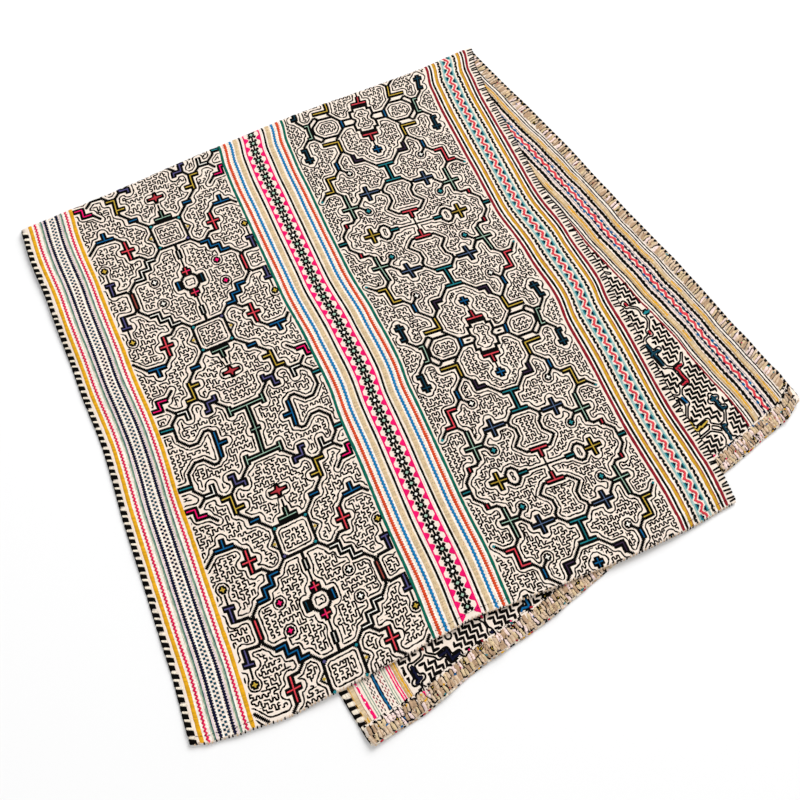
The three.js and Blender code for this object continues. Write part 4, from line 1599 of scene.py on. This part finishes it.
@functools.lru_cache(maxsize=None)
def twisted_cotton_thread():
    """Stranded cotton thread, twisted: a faint sheen, a tone that changes from stitch to stitch, and painted shade in
    the grooves of its twist.
    The map's rows are the thread colours, u runs along the thread and one turn of it is a full set of stitches."""
    material, tree, shader = new_material("twisted_cotton_thread")
    u, v = map_parts(tree)
    ramp = node(tree, "ShaderNodeValToRGB", {"Fac": v})
    band = ramp.color_ramp
    band.interpolation = "CONSTANT"
    colours = bpy.context.scene.thread_colours
    for index, (name, use, colour) in enumerate(THREADS):
        stop = band.elements[0] if index == 0 else band.elements.new(index / len(THREADS))
        stop.color = (*getattr(colours, name), 1)
    band.elements.remove(band.elements[len(THREADS)])
    times, plus = {"operation": "MULTIPLY"}, {"operation": "ADD"}
    along = node(tree, "ShaderNodeMath", {0: u}, times, {1: STITCHES_IN_MAP})
    whole = node(tree, "ShaderNodeMath", {0: along.outputs[0]}, {"operation": "FLOOR"})
    number = node(tree, "ShaderNodeMath", {0: whole.outputs[0]}, {"operation": "WRAP"}, {1: STITCHES_IN_MAP, 2: 0})
    noise = node(tree, "ShaderNodeTexWhiteNoise", {"W": number.outputs[0]}, {"noise_dimensions": "1D"})
    across = node(tree, "ShaderNodeMath", {0: v}, times, {1: len(THREADS)})
    slant = node(tree, "ShaderNodeMath", {0: along.outputs[0], 1: across.outputs[0]}, plus)
    turn = node(tree, "ShaderNodeMath", {0: slant.outputs[0]}, times, {1: math.tau})
    twist = node(tree, "ShaderNodeMath", {0: turn.outputs[0]}, {"operation": "SINE"})
    patchy = node(tree, "ShaderNodeMath", {0: noise.outputs["Value"]}, times, {1: 0.3})
    # Painted shade: the twist's sine darkens the colour in the grooves between its strands; the noise from stitch to
    # stitch is tone.
    rounded = node(
        tree, "ShaderNodeMath", {0: twist.outputs[0]}, {"operation": "MULTIPLY_ADD"}, {1: 0.1, 2: 0.78})
    light = node(tree, "ShaderNodeMath", {0: patchy.outputs[0], 1: rounded.outputs[0]}, plus).outputs[0]
    grey = node(tree, "ShaderNodeCombineXYZ", {"X": light, "Y": light, "Z": light})
    shade = node(
        tree, "ShaderNodeMix", {6: ramp.outputs[0], 7: grey.outputs[0]},
        {"data_type": "RGBA", "blend_type": "MULTIPLY"}, {0: 1.0})
    tree.links.new(shade.outputs[2], shader.inputs["Base Color"])
    bump = node(
        tree, "ShaderNodeBump", {"Height": twist.outputs[0]}, inputs={"Strength": 0.3, "Distance": 0.0003})
    tree.links.new(bump.outputs[0], shader.inputs["Normal"])
    shader.inputs["Roughness"].default_value = 0.85
    shader.inputs["Specular IOR Level"].default_value = 0.05
    return material


def cloth_sheet(material):
    """The cloth as one closed sheet with a right and a wrong side."""
    sheet = folded_sheet()
    rows, columns = sheet.right.shape[:2]
    index = np.arange(rows * columns).reshape(rows, columns)
    behind = index + rows * columns

    def quads(a, b, c, d):
        return np.stack([part.ravel() for part in (a, b, c, d)], 1)

    faces = [
        quads(index[:-1, :-1], index[:-1, 1:], index[1:, 1:], index[1:, :-1]),
        quads(behind[:-1, 1:], behind[:-1, :-1], behind[1:, :-1], behind[1:, 1:]),
        quads(index[0, 1:], index[0, :-1], behind[0, :-1], behind[0, 1:]),
        quads(index[-1, :-1], index[-1, 1:], behind[-1, 1:], behind[-1, :-1]),
        quads(index[:-1, 0], index[1:, 0], behind[1:, 0], behind[:-1, 0]),
        quads(index[1:, -1], index[:-1, -1], behind[:-1, -1], behind[1:, -1]),
    ]
    steps = np.linalg.norm(np.diff(sheet.right[:, columns // 2], axis=0), axis=1)
    s, t = np.meshgrid(sheet.columns, np.concatenate([[0], np.cumsum(steps)]))
    pitch = bpy.context.scene.cloth_settings.weave_pitch / MM
    maps = np.stack([s, t], -1).reshape(-1, 2) / (WEAVE_THREADS * pitch)
    points = np.concatenate([sheet.right.reshape(-1, 3), sheet.wrong.reshape(-1, 3)])
    return mesh_object("cloth_sheet", points, np.concatenate(faces), material, [("OFBake", np.tile(maps, (2, 1)))])


def make_camera():
    heading = math.radians(HEADING)
    rise = math.radians(ELEVATION)
    target = Vector((LOOK_AT[0], LOOK_AT[1], 0)) - Vector(folded_sheet().middle)
    ahead = Vector((math.sin(heading), math.cos(heading), 0))
    back = Vector((-ahead.x * math.cos(rise), -ahead.y * math.cos(rise), math.sin(rise)))
    right = Vector((ahead.y, -ahead.x, 0))
    up = back.cross(right)
    roll = math.radians(ROLL)
    side = right * math.cos(roll) + up * math.sin(roll)
    top = up * math.cos(roll) - right * math.sin(roll)
    data = bpy.data.cameras.new("camera")
    data.lens = LENS
    data.sensor_width = 36
    camera = bpy.data.objects.new("camera", data)
    bpy.context.scene.collection.objects.link(camera)
    turn = Matrix((side, top, back)).transposed().to_4x4()
    camera.matrix_world = Matrix.Translation((target + back * DISTANCE) * MM) @ turn
    bpy.context.scene.camera = camera


def make_stage():
    """White floor, a broad key light from the far right and a weaker one from the near left."""
    settings = bpy.context.scene.cloth_settings
    bpy.ops.mesh.primitive_plane_add(size=12, location=(0, 0, 0))
    floor = bpy.context.object
    floor.name = "floor"
    material, tree, shader = new_material("matt_white_paper")
    shader.inputs["Base Color"].default_value = linear("eeeeee")
    shader.inputs["Roughness"].default_value = 0.9
    floor.data.materials.append(material)
    lamps = (
        ("key", (3.2, 2.5, 3.5), 3.4, settings.key_power),
        ("fill", (-1.6, -1.0, 2.2), 2.4, FILL_POWER),
    )
    for name, place, size, power in lamps:
        light = bpy.data.lights.new(name, "AREA")
        light.size = size
        light.energy = power
        lamp = bpy.data.objects.new(name, light)
        bpy.context.scene.collection.objects.link(lamp)
        lamp.location = place
        lamp.rotation_mode = "QUATERNION"
        lamp.rotation_quaternion = (-Vector(place)).to_track_quat("-Z", "Y")
    world = bpy.data.worlds.new("studio")
    bpy.context.scene.world = world
    world.use_nodes = True
    world.node_tree.nodes["Background"].inputs[0].default_value = (1, 1, 1, 1)
    world.node_tree.nodes["Background"].inputs[1].default_value = WORLD_LIGHT
    bpy.context.scene.view_settings.view_transform = "Standard"


class ThreadColours(bpy.types.PropertyGroup):
    """One colour for each embroidery thread."""
    __annotations__ = {
        name: bpy.props.FloatVectorProperty(
            name=name.replace("_", " ").capitalize(), description=use, subtype="COLOR", size=3, min=0, max=1,
            default=linear(colour)[:3])
        for name, use, colour in THREADS
    }


class ClothSettings(bpy.types.PropertyGroup):
    """Sizes, ground colours with their painted light and shade, and light."""
    # Painted light on the raised threads of the ground
    ground_lit_cream: bpy.props.FloatVectorProperty(
        name="Ground, light", description="Raised threads of the cotton ground", subtype="COLOR", size=3,
        min=0, max=1, default=linear(GROUND_LIT_CREAM)[:3])
    outline_width: bpy.props.FloatProperty(
        name="Outline width", description="Width of the thick outlines of the line embroidery", subtype="DISTANCE",
        unit="LENGTH", default=2 * LINE_HALF * MM, min=0.001, max=0.008)
    edge_pitch: bpy.props.FloatProperty(
        name="Edge stitch pitch", description="Distance between the blanket stitches", subtype="DISTANCE",
        unit="LENGTH", default=EDGE_PITCH * MM, min=0.004, max=0.03)
    weave_pitch: bpy.props.FloatProperty(
        name="Weave pitch", description="Distance between the drawn threads of the cotton ground",
        subtype="DISTANCE", unit="LENGTH", default=WEAVE_PITCH * MM, min=0.0005, max=0.005)
    # Painted shade in the hollows between the threads of the ground
    ground_hollow_shade: bpy.props.FloatVectorProperty(
        name="Ground, dark", description="Hollows between the threads of the cotton ground", subtype="COLOR",
        size=3, min=0, max=1, default=linear(GROUND_HOLLOW_SHADE)[:3])
    key_power: bpy.props.FloatProperty(
        name="Key light", description="Power of the main studio light", unit="POWER", default=KEY_POWER, min=0)


def finish_piece(piece):
    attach(piece, "root")


class CLOTH_OT_sheet(bpy.types.Operator):
    """Lay the folded cotton sheet"""
    bl_idname = "cloth.sheet"
    bl_label = "Cloth sheet"

    def execute(self, context):
        cloth = cloth_sheet(plain_weave_cotton())
        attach(cloth, "root")
        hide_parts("cloth")
        return {"FINISHED"}


class CLOTH_OT_bands(bpy.types.Operator):
    """Work the three striped bands"""
    bl_idname = "cloth.bands"
    bl_label = "Striped bands"

    def execute(self, context):
        for band in BANDS:
            for piece in band_stitches(band, twisted_cotton_thread()):
                finish_piece(piece)
        return {"FINISHED"}


class CLOTH_OT_fields(bpy.types.Operator):
    """Work the two fields of line embroidery"""
    bl_idname = "cloth.fields"
    bl_label = "Line embroidery"

    def execute(self, context):
        for field in FIELDS:
            for piece in field_stitches(field, twisted_cotton_thread()):
                finish_piece(piece)
        return {"FINISHED"}


class CLOTH_OT_back(bpy.types.Operator):
    """Work the back of the stitches and the turned-up hem, where they show"""
    bl_idname = "cloth.back"
    bl_label = "Back of the stitches"

    def execute(self, context):
        for piece in back_stitches(twisted_cotton_thread()):
            finish_piece(piece)
        finish_piece(hem_bits(twisted_cotton_thread()))
        return {"FINISHED"}


class CLOTH_OT_edges(bpy.types.Operator):
    """Work the blanket stitches and overcast hems"""
    bl_idname = "cloth.edges"
    bl_label = "Edge stitches"

    def execute(self, context):
        finish_piece(edge_stitches(twisted_cotton_thread()))
        return {"FINISHED"}


class CLOTH_OT_stage(bpy.types.Operator):
    """Set the floor, lights and camera"""
    bl_idname = "cloth.stage"
    bl_label = "Stage"

    def execute(self, context):
        make_camera()
        make_stage()
        return {"FINISHED"}


class CLOTH_PT_panel(bpy.types.Panel):
    """Lists the steps that make the cloth"""
    bl_idname = "CLOTH_PT_panel"
    bl_label = "Embroidered panel"
    bl_space_type = "VIEW_3D"
    bl_region_type = "UI"
    bl_category = "Panel"

    def draw(self, context):
        for name in ("outline_width", "edge_pitch", "weave_pitch", "ground_lit_cream", "ground_hollow_shade", "key_power"):
            self.layout.prop(context.scene.cloth_settings, name)
        for name, use, colour in THREADS:
            self.layout.prop(context.scene.thread_colours, name)
        for operator in OPERATORS:
            self.layout.operator(operator.bl_idname)


OPERATORS = (CLOTH_OT_stage, CLOTH_OT_sheet, CLOTH_OT_bands, CLOTH_OT_fields, CLOTH_OT_back, CLOTH_OT_edges)
CLASSES = (ThreadColours, ClothSettings, *OPERATORS, CLOTH_PT_panel)


def register():
    for made in CLASSES:
        bpy.utils.register_class(made)
    bpy.types.Scene.thread_colours = bpy.props.PointerProperty(type=ThreadColours)
    bpy.types.Scene.cloth_settings = bpy.props.PointerProperty(type=ClothSettings)


def unregister():
    del bpy.types.Scene.cloth_settings
    del bpy.types.Scene.thread_colours
    for made in reversed(CLASSES):
        bpy.utils.unregister_class(made)


def main():
    register()
    bpy.ops.cloth.stage()
    bpy.ops.cloth.sheet()
    bpy.ops.cloth.bands()
    bpy.ops.cloth.fields()
    bpy.ops.cloth.back()
    bpy.ops.cloth.edges()


if __name__ == "__main__":
    main()
